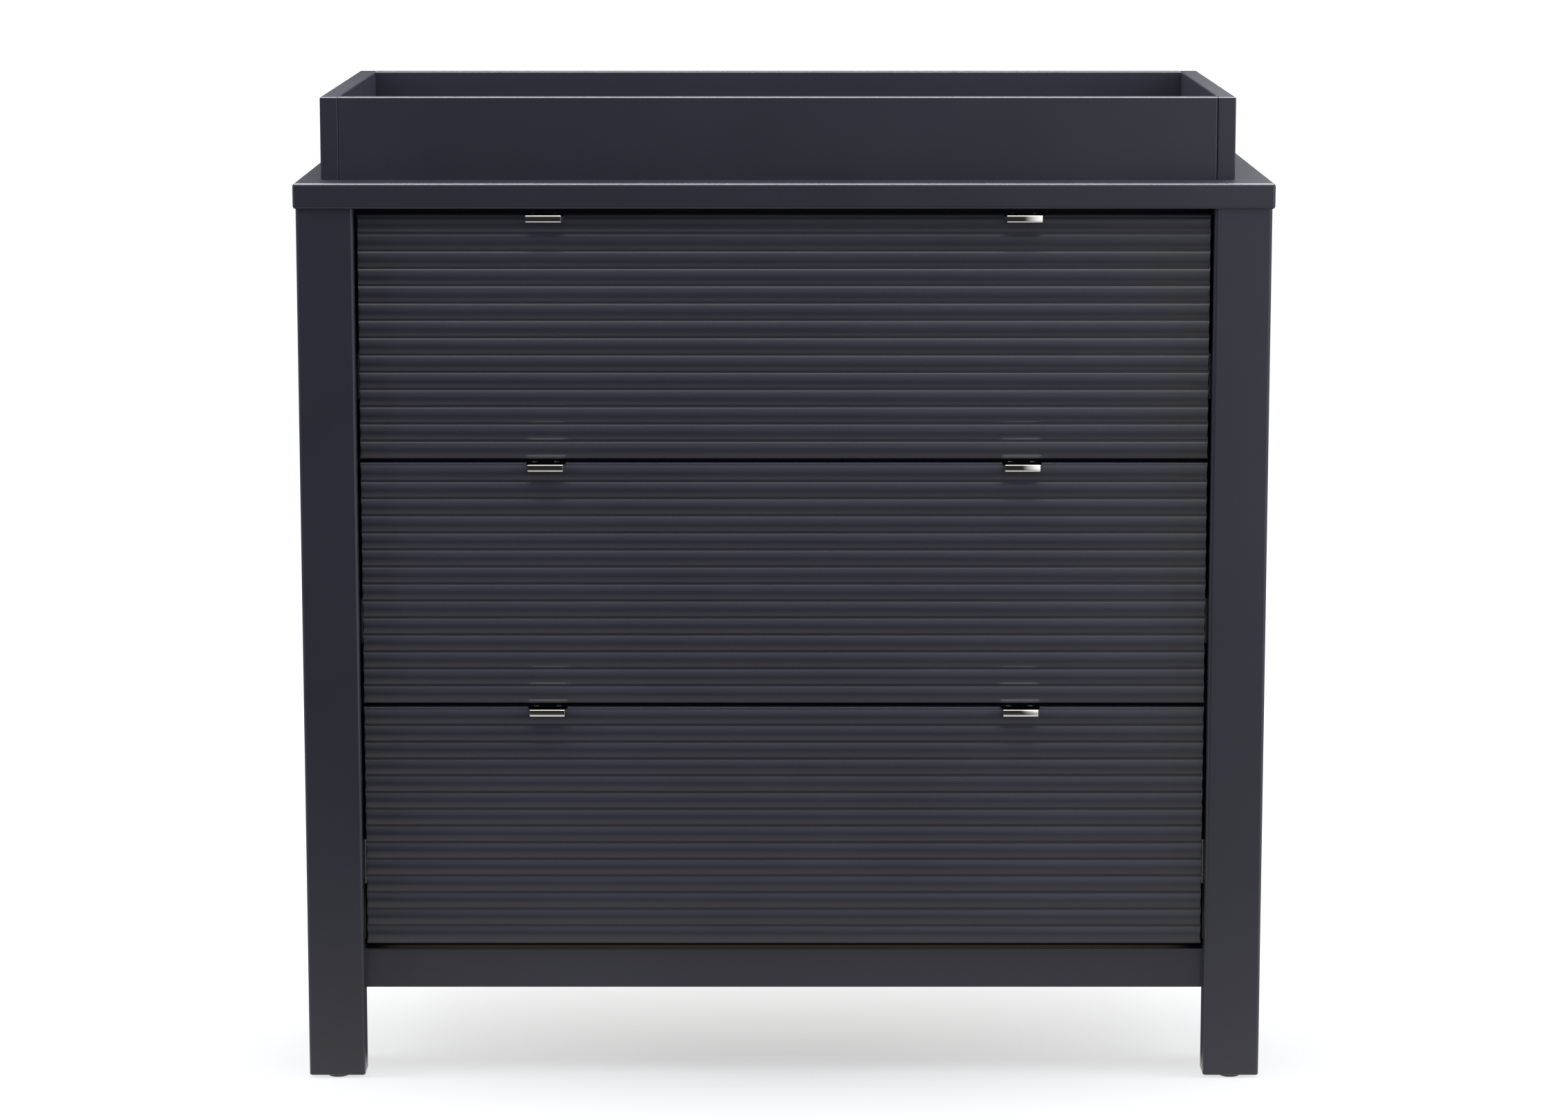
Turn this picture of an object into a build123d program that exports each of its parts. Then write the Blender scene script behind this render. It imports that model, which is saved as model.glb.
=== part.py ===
from build123d import *
import os

os.makedirs("parts", exist_ok=True)

# A three-drawer changing table: a dresser with ribbed drawer fronts and an open tray on its top.
# Millimetres. +Z is up, the drawers open towards -Y, and the origin is on the floor, below the
# middle of the bounding box.

# ---- overall ----
top_width = 959.0
top_depth = 495.0
top_thickness = 25.0
top_surface_height = 900.0
top_edge_radius = 3.0
top_front_overhang = 3.0
top_side_overhang = 2.5
top_rear_overhang = 2.0

# ---- tray on the top ----
tray_height = 81.0
tray_board = 18.0
tray_edge_radius = 1.5
tray_setback = 47.0
tray_left_margin = 23.5
tray_right_margin = 35.5
tray_dowel_length = 36.0
tray_dowel_in_side = 12.0
tray_dowel_inset = 20.0

# ---- legs and side frames ----
stile_width = 56.0
stile_thickness = 30.0
stile_edge_radius = 3.0
foot_edge_radius = 1.5
side_frame_thickness = 22.0
side_leg_depth = 45.0
rear_leg_depth = 45.0
side_panel_thickness = 6.0
side_panel_inset = 8.0
side_panel_groove_depth = 8.0
side_rail_height = 58.0
groove_clearance = 0.2
groove_end_clearance = 0.6
glide_radius = 11.0
glide_thickness = 3.0
glide_chamfer = 0.8
glide_pin_radius = 3.0
glide_pin_length = 15.0

# ---- rails across the carcass ----
floor_clearance = 90.0
bottom_rail_height = 40.0
bottom_rail_recess = 16.0
cross_rail_height = 25.0
cross_rail_depth = 30.0
rear_rail_height = 60.0
rear_rail_thickness = 20.0
back_panel_thickness = 3.2
back_panel_rebate = 10.0
back_panel_joint = 1.0

# ---- drawers ----
drawer_count = 3
drawer_recess = 10.0
drawer_side_gap = 2.8
drawer_gap = 3.5
drawer_top_gap = 6.0
drawer_bottom_gap = 6.0
drawer_stop_gap = 1.0
front_edge_radius = 2.0
board_edge_radius = 1.5
front_end_radius = 3.0
rib_count = 14
rib_depth = 2.6
groove_width = 2.0
rib_top_margin = 2.6
rib_bottom_margin = 2.0
box_board = 12.0
box_back_gap = 24.0
box_top_clearance = 44.0
box_lift = 18.0
bottom_board = 4.0
bottom_groove_depth = 5.5
bottom_lift = 10.0

# ---- drawer slides ----
slide_thickness = 12.7
slide_metal = 1.2
slide_gap = 0.4
slide_back_gap = 13.0
slide_height = 45.0
slide_flange_step = 4.5
slide_lip = 1.3
slide_front_gap = 2.0
middle_member_shortfall = 20.0
slide_lift = 62.0
batten_height = 50.0
cam_reach = 20.0

# ---- pulls ----
pull_spacing = 470.0
pull_plate_width = 38.3
pull_lip_width = 34.5
pull_plate_thickness = 2.0
pull_projection = 14.0
pull_reach = 13.0
pull_lip_height = 7.4
pull_lip_thickness = 2.4
pull_nose_radius = 1.1
pull_inner_radius = 1.0
pull_taper_length = 6.0
notch_clearance = 0.2

# ---- fasteners ----
cut_margin = 1.0
screw_clearance = 0.1
dowel_radius = 4.0
dowel_length = 30.0
dowel_in_top = 12.0
cam_radius = 7.5
cam_depth = 12.0
cam_setback = 34.0
cam_slot_width = 2.0
cam_slot_depth = 1.5
cam_bolt_radius = 3.0
cam_bolt_in_leg = 10.0
cam_bolt_gap = 0.2
slide_screw_head_radius = 3.5
slide_screw_radius = 1.75
outer_slide_screw_length = 17.0
inner_slide_screw_length = 9.0
slide_screw_inset = 36.0
front_screw_head_radius = 4.0
front_screw_head_thickness = 2.0
front_screw_radius = 2.0
front_screw_bite = 10.0
front_screw_edge = 45.0
pull_screw_head_radius = 2.6
pull_screw_radius = 1.25
pull_screw_length = 14.0
pull_screw_spacing = 22.0
back_screw_head_radius = 4.0
back_screw_head_thickness = 1.6
back_screw_radius = 1.5
back_screw_length = 15.0
back_screws_per_row = 5
back_screw_edge = 12.0
plate_width = 60.0
plate_thickness = 2.0
plate_above_top = 36.0
plate_below_top = 21.0
plate_corner_radius = 4.0
plate_offset = 300.0
plate_screw_spacing = 36.0
plate_screw_edge = 12.0
plate_screw_head_radius = 4.0
plate_screw_head_thickness = 1.8
plate_screw_radius = 2.0
plate_screw_length = 14.0

# ---- places worked out from the sizes above ----
front_reach = pull_projection - drawer_recess
front_extreme = max(front_reach, top_front_overhang)
carcass_depth = top_depth - top_front_overhang - top_rear_overhang
rear_extreme = carcass_depth + top_rear_overhang + plate_thickness + plate_screw_head_thickness
stile_face_y = (front_extreme - rear_extreme) / 2
stile_back_y = stile_face_y + stile_thickness
carcass_back_y = stile_face_y + carcass_depth
top_front_y = stile_face_y - top_front_overhang
top_back_y = carcass_back_y + top_rear_overhang
rear_leg_front_y = carcass_back_y - rear_leg_depth
side_leg_back_y = stile_back_y + side_leg_depth
rear_rail_back_y = carcass_back_y - back_panel_thickness
rear_rail_front_y = rear_rail_back_y - rear_rail_thickness
cross_rail_back_y = stile_back_y + cross_rail_depth
bottom_rail_front_y = stile_face_y + bottom_rail_recess

leg_outer_x = top_width / 2 - top_side_overhang
leg_inner_x = leg_outer_x - stile_width
side_frame_inner_x = leg_outer_x - side_frame_thickness
side_panel_outer_x = leg_outer_x - side_panel_inset
side_panel_inner_x = side_panel_outer_x - side_panel_thickness

carcass_top_z = top_surface_height - top_thickness
leg_bottom_z = glide_thickness
bottom_rail_top_z = floor_clearance + bottom_rail_height
back_joint_z = (floor_clearance + carcass_top_z) / 2
front_top_rail_middle_z = carcass_top_z - cross_rail_height / 2
bottom_cross_rail_middle_z = bottom_rail_top_z - cross_rail_height / 2

fronts_top_z = carcass_top_z - drawer_top_gap
fronts_bottom_z = bottom_rail_top_z + drawer_bottom_gap
front_pitch = (fronts_top_z - fronts_bottom_z + drawer_gap) / drawer_count
front_height = front_pitch - drawer_gap
front_half_width = leg_inner_x - drawer_side_gap
front_thickness = stile_thickness - drawer_recess - drawer_stop_gap
front_face_y = stile_face_y + drawer_recess
front_base_y = front_face_y + rib_depth
front_back_y = front_face_y + front_thickness
rib_pitch = (front_height - rib_top_margin - rib_bottom_margin + groove_width) / rib_count
rib_width = rib_pitch - groove_width

box_outer_x = leg_inner_x - slide_thickness
box_inner_x = box_outer_x - box_board
box_back_y = rear_leg_front_y - box_back_gap
box_height = front_height - box_lift - box_top_clearance
slide_front_y = stile_back_y + slide_front_gap
slide_length = rear_leg_front_y - slide_back_gap - slide_front_y
middle_member_length = slide_length - middle_member_shortfall
inner_member_front_y = front_back_y + slide_front_gap

tray_left_x = -top_width / 2 + tray_left_margin
tray_right_x = top_width / 2 - tray_right_margin
tray_front_y = top_front_y + tray_setback
tray_back_y = top_back_y
tray_top_z = top_surface_height + tray_height

pull_lip_front_y = front_face_y - pull_projection
pull_back_y = front_face_y + pull_reach

drawer_names = ("upper", "middle", "lower")
side_names = {"left": -1, "right": 1}

# How far the middle of a quarter round stands in from its corner, as a share of the radius.
arc_inset = 1 - 0.5 ** 0.5


def drawer_bottom_z(index):
    """Height of the lower edge of a drawer front, counted from the top drawer."""
    return fronts_top_z - index * front_pitch - front_height


# ---- general shapes ----
def block(x_span, y_span, z_span):
    """A rectangular solid between two values on each axis, given in either order."""
    spans = [(min(span), max(span)) for span in (x_span, y_span, z_span)]
    size = [high - low for low, high in spans]
    corner = [low for low, high in spans]
    return Pos(*corner) * Box(*size, align=(Align.MIN, Align.MIN, Align.MIN))


def rod(start, direction, radius, length):
    """A cylinder from a start point along a direction."""
    return extrude(Plane(origin=start, z_dir=direction) * Circle(radius), length)


def save(name, solids):
    """Write one named piece, or one group of separate pieces, to its own STEP file."""
    shapes = []
    for shape in solids:
        shapes.extend(shape.solids())
    body = shapes[0] if len(shapes) == 1 else Compound(shapes)
    body.label = name
    export_step(body, os.path.join("parts", name + ".step"))


# ---- fastener places ----
def cam_places():
    """Each cam lock's place: rail end, height, the rail's open face, and the way into the wood."""
    cross_heights = [front_top_rail_middle_z, bottom_cross_rail_middle_z]
    for index in range(1, drawer_count):
        cross_heights.append(divider_middle_z(index))
    rear_heights = [rail_bottom + rear_rail_height / 2 for rail_bottom in rear_rail_bottoms()]
    places = []
    for side in side_names.values():
        for height in cross_heights:
            places.append((side, side_frame_inner_x, height, cross_rail_back_y, -1))
        for height in rear_heights:
            places.append((side, leg_inner_x, height, rear_rail_front_y, 1))
    return places


def divider_middle_z(index):
    """Middle height of the rail below the drawer with number index - 1."""
    return drawer_bottom_z(index - 1) - drawer_gap / 2


def rear_rail_bottoms():
    middle = back_joint_z - rear_rail_height / 2
    return (floor_clearance, middle, carcass_top_z - rear_rail_height)


def cam_lock(place, extra=0.0):
    side, end_x, height, face_y, inward = place
    start = (side * (end_x - cam_setback), face_y, height)
    return rod(start, (0, inward, 0), cam_radius + extra, cam_depth + extra)


def cam_bolt(place, extra=0.0):
    side, end_x, height, face_y, inward = place
    middle_y = face_y + inward * cam_depth / 2
    start = (side * (end_x + cam_bolt_in_leg + extra), middle_y, height)
    length = cam_bolt_in_leg + cam_setback - cam_radius - cam_bolt_gap + extra
    return rod(start, (-side, 0, 0), cam_bolt_radius + extra, length)


def slide_middle_z(index):
    return drawer_bottom_z(index) + box_lift + slide_lift


def outer_slide_screw(side, index, y, extra=0.0):
    wall = (side * leg_inner_x, y, slide_middle_z(index))
    shank = rod(wall, (side, 0, 0), slide_screw_radius + extra, outer_slide_screw_length + extra)
    head = rod(wall, (-side, 0, 0), slide_screw_head_radius + extra, slide_metal)
    return shank + head


def inner_slide_screw(side, index, y, extra=0.0):
    wall = (side * box_outer_x, y, slide_middle_z(index))
    shank = rod(wall, (-side, 0, 0), slide_screw_radius + extra, inner_slide_screw_length + extra)
    head = rod(wall, (side, 0, 0), slide_screw_head_radius + extra, slide_metal)
    return shank + head


def outer_slide_screw_rows():
    back = slide_front_y + slide_length
    middle = (slide_front_y + back) / 2
    return (slide_front_y + slide_screw_inset, middle, back - slide_screw_inset)


def inner_member_length():
    return box_back_y - inner_member_front_y


def inner_slide_screw_rows():
    middle = (inner_member_front_y + box_back_y) / 2
    return (inner_member_front_y + slide_screw_inset, middle, box_back_y - slide_screw_inset)


def front_screw_places(index):
    """Four screws through the box's front board into the ribbed front."""
    bottom = drawer_bottom_z(index) + box_lift
    heights = (bottom + front_screw_edge, bottom + box_height - front_screw_edge)
    places = []
    for side in side_names.values():
        for height in heights:
            places.append((side * (box_inner_x - front_screw_edge), front_back_y, height))
    return places


def front_screw(place, extra=0.0):
    x, y, z = place
    head_y = y + box_board
    head = rod((x, head_y, z), (0, 1, 0), front_screw_head_radius, front_screw_head_thickness)
    length = box_board + front_screw_bite + extra
    return head + rod((x, head_y, z), (0, -1, 0), front_screw_radius + extra, length)


def pull_screw_places(index):
    top = drawer_bottom_z(index) + front_height
    y = front_face_y + (rib_depth + pull_reach) / 2
    places = []
    for side in side_names.values():
        for offset in (-pull_screw_spacing / 2, pull_screw_spacing / 2):
            places.append((side * pull_spacing / 2 + offset, y, top))
    return places


def pull_screw(place, extra=0.0):
    x, y, z = place
    head = rod((x, y, z), (0, 0, -1), pull_screw_head_radius + extra, pull_plate_thickness / 2)
    return head + rod((x, y, z), (0, 0, -1), pull_screw_radius + extra, pull_screw_length + extra)


def back_screw_places():
    """Rows of screws along the rear rails, with one row each side of the joint in the back."""
    rows = (
        floor_clearance + back_screw_edge,
        back_joint_z - back_screw_edge,
        back_joint_z + back_screw_edge,
        carcass_top_z - back_screw_edge,
    )
    step = 2 * (leg_inner_x - back_screw_edge) / (back_screws_per_row - 1)
    places = []
    for row in rows:
        for column in range(back_screws_per_row):
            places.append((back_screw_edge - leg_inner_x + column * step, carcass_back_y, row))
    return places


def back_screw(place, extra=0.0):
    head = rod(place, (0, 1, 0), back_screw_head_radius, back_screw_head_thickness)
    return head + rod(place, (0, -1, 0), back_screw_radius + extra, back_screw_length + extra)


def plate_screw_places():
    upper = top_surface_height + plate_above_top - plate_screw_edge
    lower = top_surface_height - top_thickness / 2
    places = []
    for side in side_names.values():
        for offset in (-plate_screw_spacing / 2, plate_screw_spacing / 2):
            for height in (lower, upper):
                places.append((side * plate_offset + offset, top_back_y + plate_thickness, height))
    return places


def plate_screw(place, extra=0.0):
    head = rod(place, (0, 1, 0), plate_screw_head_radius, plate_screw_head_thickness)
    length = plate_thickness + plate_screw_length + extra
    return head + rod(place, (0, -1, 0), plate_screw_radius + extra, length)


def top_dowel_places():
    """Dowels between the top and the legs and rails below it."""
    leg_x = (leg_inner_x + leg_outer_x) / 2
    rear_leg_y = (rear_leg_front_y + rear_rail_front_y) / 2
    rail_x = leg_inner_x / 3
    rail_y = stile_back_y + cross_rail_depth / 2
    rear_rail_y = (rear_rail_front_y + rear_rail_back_y) / 2
    places = []
    for side in side_names.values():
        places.append((side * leg_x, stile_face_y + stile_thickness / 2))
        places.append((side * leg_x, rear_leg_y))
        places.append((side * rail_x, rail_y))
        places.append((side * rail_x, rear_rail_y))
    return places


def top_dowel(place, extra=0.0):
    x, y = place
    start = (x, y, carcass_top_z + dowel_in_top + extra)
    return rod(start, (0, 0, -1), dowel_radius + extra, dowel_length + 2 * extra)


def tray_dowel_places():
    """Two dowels in each corner joint of the tray."""
    places = []
    for outer_x, inward in ((tray_left_x, 1), (tray_right_x, -1)):
        joint_x = outer_x + inward * tray_board
        for y in (tray_front_y + tray_board / 2, tray_back_y - tray_board / 2):
            for z in (top_surface_height + tray_dowel_inset, tray_top_z - tray_dowel_inset):
                places.append((joint_x, inward, y, z))
    return places


def tray_dowel(place, extra=0.0):
    joint_x, inward, y, z = place
    start = (joint_x - inward * (tray_dowel_in_side + extra), y, z)
    length = tray_dowel_length + 2 * extra
    return rod(start, (inward, 0, 0), dowel_radius + extra, length)


def glide_places():
    leg_x = (leg_inner_x + leg_outer_x) / 2
    rear_y = carcass_back_y - rear_leg_depth / 2
    rows = (stile_face_y + stile_thickness / 2, rear_y)
    return [(side * leg_x, y) for side in side_names.values() for y in rows]


def glide_pin(place, extra=0.0):
    x, y = place
    length = glide_pin_length + 2 * extra
    return rod((x, y, leg_bottom_z - extra), (0, 0, 1), glide_pin_radius + extra, length)


def drill(piece, cutters):
    """Take every cutter that reaches the piece out of it."""
    box = piece.bounding_box()
    for cutter in cutters:
        other = cutter.bounding_box()
        apart_x = other.min.X > box.max.X or other.max.X < box.min.X
        apart_y = other.min.Y > box.max.Y or other.max.Y < box.min.Y
        apart_z = other.min.Z > box.max.Z or other.max.Z < box.min.Z
        if not (apart_x or apart_y or apart_z):
            piece = piece - cutter
    return piece


def carcass_cutters():
    """Every hole that the carcass's fasteners need, a little larger than the fastener."""
    cutters = []
    for place in cam_places():
        cutters.append(cam_lock(place, screw_clearance))
        cutters.append(cam_bolt(place, screw_clearance))
    for side in side_names.values():
        for index in range(drawer_count):
            for y in outer_slide_screw_rows():
                cutters.append(outer_slide_screw(side, index, y, screw_clearance))
    cutters.extend(back_screw(place, screw_clearance) for place in back_screw_places())
    cutters.extend(plate_screw(place, screw_clearance) for place in plate_screw_places())
    cutters.extend(top_dowel(place, screw_clearance) for place in top_dowel_places())
    cutters.extend(tray_dowel(place, screw_clearance) for place in tray_dowel_places())
    cutters.extend(glide_pin(place, screw_clearance) for place in glide_places())
    return cutters


# ---- the top and the tray ----
def top_panel():
    x_span = (-top_width / 2, top_width / 2)
    board = block(x_span, (top_front_y, top_back_y), (carcass_top_z, top_surface_height))
    return fillet(board.edges(), top_edge_radius)


def tray_side(outer_x, inward):
    x_span = (outer_x, outer_x + inward * tray_board)
    board = block(x_span, (tray_front_y, tray_back_y), (top_surface_height, tray_top_z))
    lengthwise = board.edges().filter_by(Axis.Y).group_by(Axis.Z)[-1]
    uprights = board.edges().filter_by(Axis.Z)
    across_top = board.edges().filter_by(Axis.X).group_by(Axis.Z)[-1]
    return fillet(lengthwise + uprights + across_top, tray_edge_radius)


def tray_end(outer_y, inward):
    x_span = (tray_left_x + tray_board, tray_right_x - tray_board)
    y_span = (outer_y, outer_y + inward * tray_board)
    board = block(x_span, y_span, (top_surface_height, tray_top_z))
    lengthwise = board.edges().filter_by(Axis.X).group_by(Axis.Z)[-1]
    uprights = board.edges().filter_by(Axis.Z)
    outer = uprights.group_by(Axis.Y)[0 if inward > 0 else -1]
    return fillet(lengthwise + outer, tray_edge_radius)


def tray_plate(side):
    """A steel plate behind the tray that ties it to the top's rear edge."""
    low = top_surface_height - plate_below_top
    high = top_surface_height + plate_above_top
    centre = side * plate_offset
    x_span = (centre - plate_width / 2, centre + plate_width / 2)
    plate = block(x_span, (top_back_y, top_back_y + plate_thickness), (low, high))
    return fillet(plate.edges().filter_by(Axis.Y), plate_corner_radius)


# ---- the side frames ----
def front_stile(side):
    """A front leg: a board whose face runs from the floor to the top."""
    x_span = (side * leg_inner_x, side * leg_outer_x)
    board = block(x_span, (stile_face_y, stile_back_y), (leg_bottom_z, carcass_top_z))
    face_edges = board.edges().filter_by(Axis.Z).group_by(Axis.Y)[0]
    board = fillet(face_edges, stile_edge_radius)
    return fillet(board.faces().sort_by(Axis.Z)[0].edges(), foot_edge_radius)


def panel_span_y(extra):
    reach = side_panel_groove_depth - extra
    return (side_leg_back_y - reach, rear_leg_front_y + reach)


def panel_span_z(extra):
    reach = side_panel_groove_depth - extra
    low = floor_clearance + side_rail_height - reach
    return (low, carcass_top_z - side_rail_height + reach)


def side_panel(side):
    x_span = (side * side_panel_inner_x, side * side_panel_outer_x)
    end = groove_end_clearance
    return block(x_span, panel_span_y(end), panel_span_z(end))


def side_panel_space(side):
    """The panel with its clearance, which the frame's grooves leave free."""
    inner = side_panel_inner_x - groove_clearance
    outer = side_panel_outer_x + groove_clearance
    return block((side * inner, side * outer), panel_span_y(0), panel_span_z(0))


def side_front_leg(side):
    x_span = (side * side_frame_inner_x, side * leg_outer_x)
    leg = block(x_span, (stile_back_y, side_leg_back_y), (leg_bottom_z, carcass_top_z))
    return leg - side_panel_space(side)


def rear_leg(side):
    x_span = (side * leg_inner_x, side * leg_outer_x)
    leg = block(x_span, (rear_leg_front_y, carcass_back_y), (leg_bottom_z, carcass_top_z))
    outer_edges = leg.edges().filter_by(Axis.Z).group_by(Axis.Y)[-1]
    leg = fillet(outer_edges, board_edge_radius)
    rebate_x = (side * (leg_inner_x - cut_margin), side * (leg_inner_x + back_panel_rebate))
    rebate_y = (rear_rail_back_y, carcass_back_y + cut_margin)
    rebate = block(rebate_x, rebate_y, (floor_clearance, carcass_top_z))
    return leg - rebate - side_panel_space(side)


def side_rails(side):
    x_span = (side * side_frame_inner_x, side * leg_outer_x)
    y_span = (side_leg_back_y, rear_leg_front_y)
    upper_z = (carcass_top_z - side_rail_height, carcass_top_z)
    lower_z = (floor_clearance, floor_clearance + side_rail_height)
    return [block(x_span, y_span, z_span) - side_panel_space(side) for z_span in (upper_z, lower_z)]


def slide_battens():
    """Boards inside the side frames, one for each slide, level with the legs' inner faces.

    One more on each side stiffens the lower side rail, clear of the cam locks in front of it.
    """
    battens = []
    for side in side_names.values():
        x_span = (side * leg_inner_x, side * side_frame_inner_x)
        for index in range(drawer_count):
            middle = slide_middle_z(index)
            z_span = (middle - batten_height / 2, middle + batten_height / 2)
            battens.append(block(x_span, (stile_back_y, rear_leg_front_y), z_span))
        low_span = (floor_clearance, floor_clearance + batten_height)
        battens.append(block(x_span, (cross_rail_back_y + cam_reach, rear_leg_front_y), low_span))
    return battens


# ---- the rails across and the back ----
def front_bottom_rail():
    """The apron below the drawers, glued to the cross rail behind it."""
    z_span = (floor_clearance, bottom_rail_top_z)
    rail = block((-leg_inner_x, leg_inner_x), (bottom_rail_front_y, stile_back_y), z_span)
    face_edges = rail.edges().filter_by(Axis.X).group_by(Axis.Y)[0]
    return fillet(face_edges, board_edge_radius)


def cross_rail(middle_z):
    """A rail behind the drawer fronts, between the side frames."""
    x_span = (-side_frame_inner_x, side_frame_inner_x)
    z_span = (middle_z - cross_rail_height / 2, middle_z + cross_rail_height / 2)
    return block(x_span, (stile_back_y, cross_rail_back_y), z_span)


def rear_rail(bottom_z):
    z_span = (bottom_z, bottom_z + rear_rail_height)
    return block((-leg_inner_x, leg_inner_x), (rear_rail_front_y, rear_rail_back_y), z_span)


def back_panel(low, high):
    half = leg_inner_x + back_panel_rebate - groove_clearance
    return block((-half, half), (rear_rail_back_y, carcass_back_y), (low, high))


# ---- the slides ----
def channel(side, web_x, tip_x, half_height, y_start, length, middle_z):
    """A steel channel along Y: an upright web at web_x with two lips that reach tip_x."""
    inward = 1 if tip_x > web_x else -1
    y_span = (y_start, y_start + length)
    web_x_span = (side * web_x, side * (web_x + inward * slide_metal))
    shape = block(web_x_span, y_span, (middle_z - half_height, middle_z + half_height))
    for direction in (-1, 1):
        outer = middle_z + direction * half_height
        inner = outer - direction * slide_metal
        shape = shape + block((side * web_x, side * tip_x), y_span, (inner, outer))
    return shape


def outer_member(side, index):
    tip_x = leg_inner_x - slide_thickness + 2 * slide_lip + slide_gap
    middle = slide_middle_z(index)
    half = slide_height / 2
    return channel(side, leg_inner_x, tip_x, half, slide_front_y, slide_length, middle)


def middle_member(side, index):
    web_x = leg_inner_x - slide_metal - slide_gap
    tip_x = leg_inner_x - slide_thickness + slide_lip + slide_gap
    middle = slide_middle_z(index)
    half = slide_height / 2 - slide_flange_step
    start = slide_front_y + slide_front_gap
    return channel(side, web_x, tip_x, half, start, middle_member_length, middle)


def inner_member(side, index):
    tip_x = leg_inner_x - 2 * slide_metal - 2 * slide_gap
    middle = slide_middle_z(index)
    half = slide_height / 2 - 2 * slide_flange_step
    start = inner_member_front_y
    return channel(side, box_outer_x, tip_x, half, start, inner_member_length(), middle)


# ---- a drawer ----
def quarter_round(start, end, corner, radius):
    """An arc between two points beside a square corner, a radius away from it."""
    inset = radius * arc_inset
    middle_y = corner[0] + (inset if max(start[0], end[0]) > corner[0] else -inset)
    middle_z = corner[1] + (inset if max(start[1], end[1]) > corner[1] else -inset)
    ThreePointArc(start, (middle_y, middle_z), end)


def front_section(bottom_z):
    """The drawer front's section: a flat board with a row of rounded ribs on its face."""
    top_z = bottom_z + front_height
    upper = min(front_edge_radius, rib_top_margin)
    lower = min(front_edge_radius, rib_bottom_margin)
    with BuildSketch(Plane.YZ) as section:
        with BuildLine():
            Line((front_back_y, bottom_z), (front_back_y, top_z))
            Line((front_back_y, top_z), (front_base_y + upper, top_z))
            last = (front_base_y, top_z - upper)
            quarter_round((front_base_y + upper, top_z), last, (front_base_y, top_z), upper)
            for number in range(rib_count):
                rib_top = top_z - rib_top_margin - number * rib_pitch
                start = (front_base_y, rib_top)
                crest = (front_face_y, rib_top - rib_width / 2)
                end = (front_base_y, rib_top - rib_width)
                if last[1] > rib_top:
                    Line(last, start)
                ThreePointArc(start, crest, end)
                last = end
            if rib_bottom_margin > lower:
                Line(last, (front_base_y, bottom_z + lower))
            lower_end = (front_base_y + lower, bottom_z)
            quarter_round((front_base_y, bottom_z + lower), lower_end, (front_base_y, bottom_z), lower)
            Line(lower_end, (front_back_y, bottom_z))
        make_face()
    return section.sketch


def front_plan(bottom_z):
    """A column with the drawer front's outline from above, rounded at its two front corners."""
    x_span = (-front_half_width, front_half_width)
    column = block(x_span, (front_face_y, front_back_y), (bottom_z, bottom_z + front_height))
    return fillet(column.edges().filter_by(Axis.Z).group_by(Axis.Y)[0], front_end_radius)


def pull_notch(side, index):
    half = pull_plate_width / 2 + notch_clearance
    top = drawer_bottom_z(index) + front_height
    middle = side * pull_spacing / 2
    y_span = (front_face_y - cut_margin, pull_back_y + notch_clearance)
    z_span = (top - pull_plate_thickness, top + cut_margin)
    return block((middle - half, middle + half), y_span, z_span)


def drawer_front(index):
    bottom = drawer_bottom_z(index)
    front = extrude(front_section(bottom), front_half_width, both=True) & front_plan(bottom)
    for side in side_names.values():
        front = front - pull_notch(side, index)
    return front


def box_bottom_space(index, extra):
    """The drawer's bottom board, or with extra its groove in the four boards around it."""
    low = drawer_bottom_z(index) + box_lift + bottom_lift
    reach = bottom_groove_depth - (0 if extra else groove_end_clearance)
    x = box_inner_x + reach
    y_span = (front_back_y + box_board - reach, box_back_y - box_board + reach)
    return block((-x, x), y_span, (low - extra, low + bottom_board + extra))


def box_side(side, index):
    low = drawer_bottom_z(index) + box_lift
    x_span = (side * box_inner_x, side * box_outer_x)
    board = block(x_span, (front_back_y, box_back_y), (low, low + box_height))
    top_edges = board.edges().filter_by(Axis.Y).group_by(Axis.Z)[-1]
    board = fillet(top_edges, board_edge_radius)
    return board - box_bottom_space(index, groove_clearance)


def box_ends(index):
    low = drawer_bottom_z(index) + box_lift
    ends = []
    for start in (front_back_y, box_back_y - box_board):
        x_span = (-box_inner_x, box_inner_x)
        board = block(x_span, (start, start + box_board), (low, low + box_height))
        ends.append(board - box_bottom_space(index, groove_clearance))
    return ends


def pull_section(top_z):
    """The pull's section: a flat plate, a bend, and a lip with a rounded nose."""
    lip_low = top_z - pull_lip_height
    plate_low = top_z - pull_plate_thickness
    nose = pull_nose_radius
    front = pull_lip_front_y
    lip_back = front + pull_lip_thickness
    inner = pull_inner_radius
    with BuildSketch(Plane.YZ) as section:
        with BuildLine():
            Line((pull_back_y, plate_low), (pull_back_y, top_z))
            Line((pull_back_y, top_z), (front + nose, top_z))
            quarter_round((front + nose, top_z), (front, top_z - nose), (front, top_z), nose)
            Line((front, top_z - nose), (front, lip_low + nose))
            quarter_round((front, lip_low + nose), (front + nose, lip_low), (front, lip_low), nose)
            Line((front + nose, lip_low), (lip_back, lip_low))
            Line((lip_back, lip_low), (lip_back, plate_low - inner))
            bend_end = (lip_back + inner, plate_low)
            quarter_round((lip_back, plate_low - inner), bend_end, (lip_back, plate_low), inner)
            Line(bend_end, (pull_back_y, plate_low))
        make_face()
    return section.sketch


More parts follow.
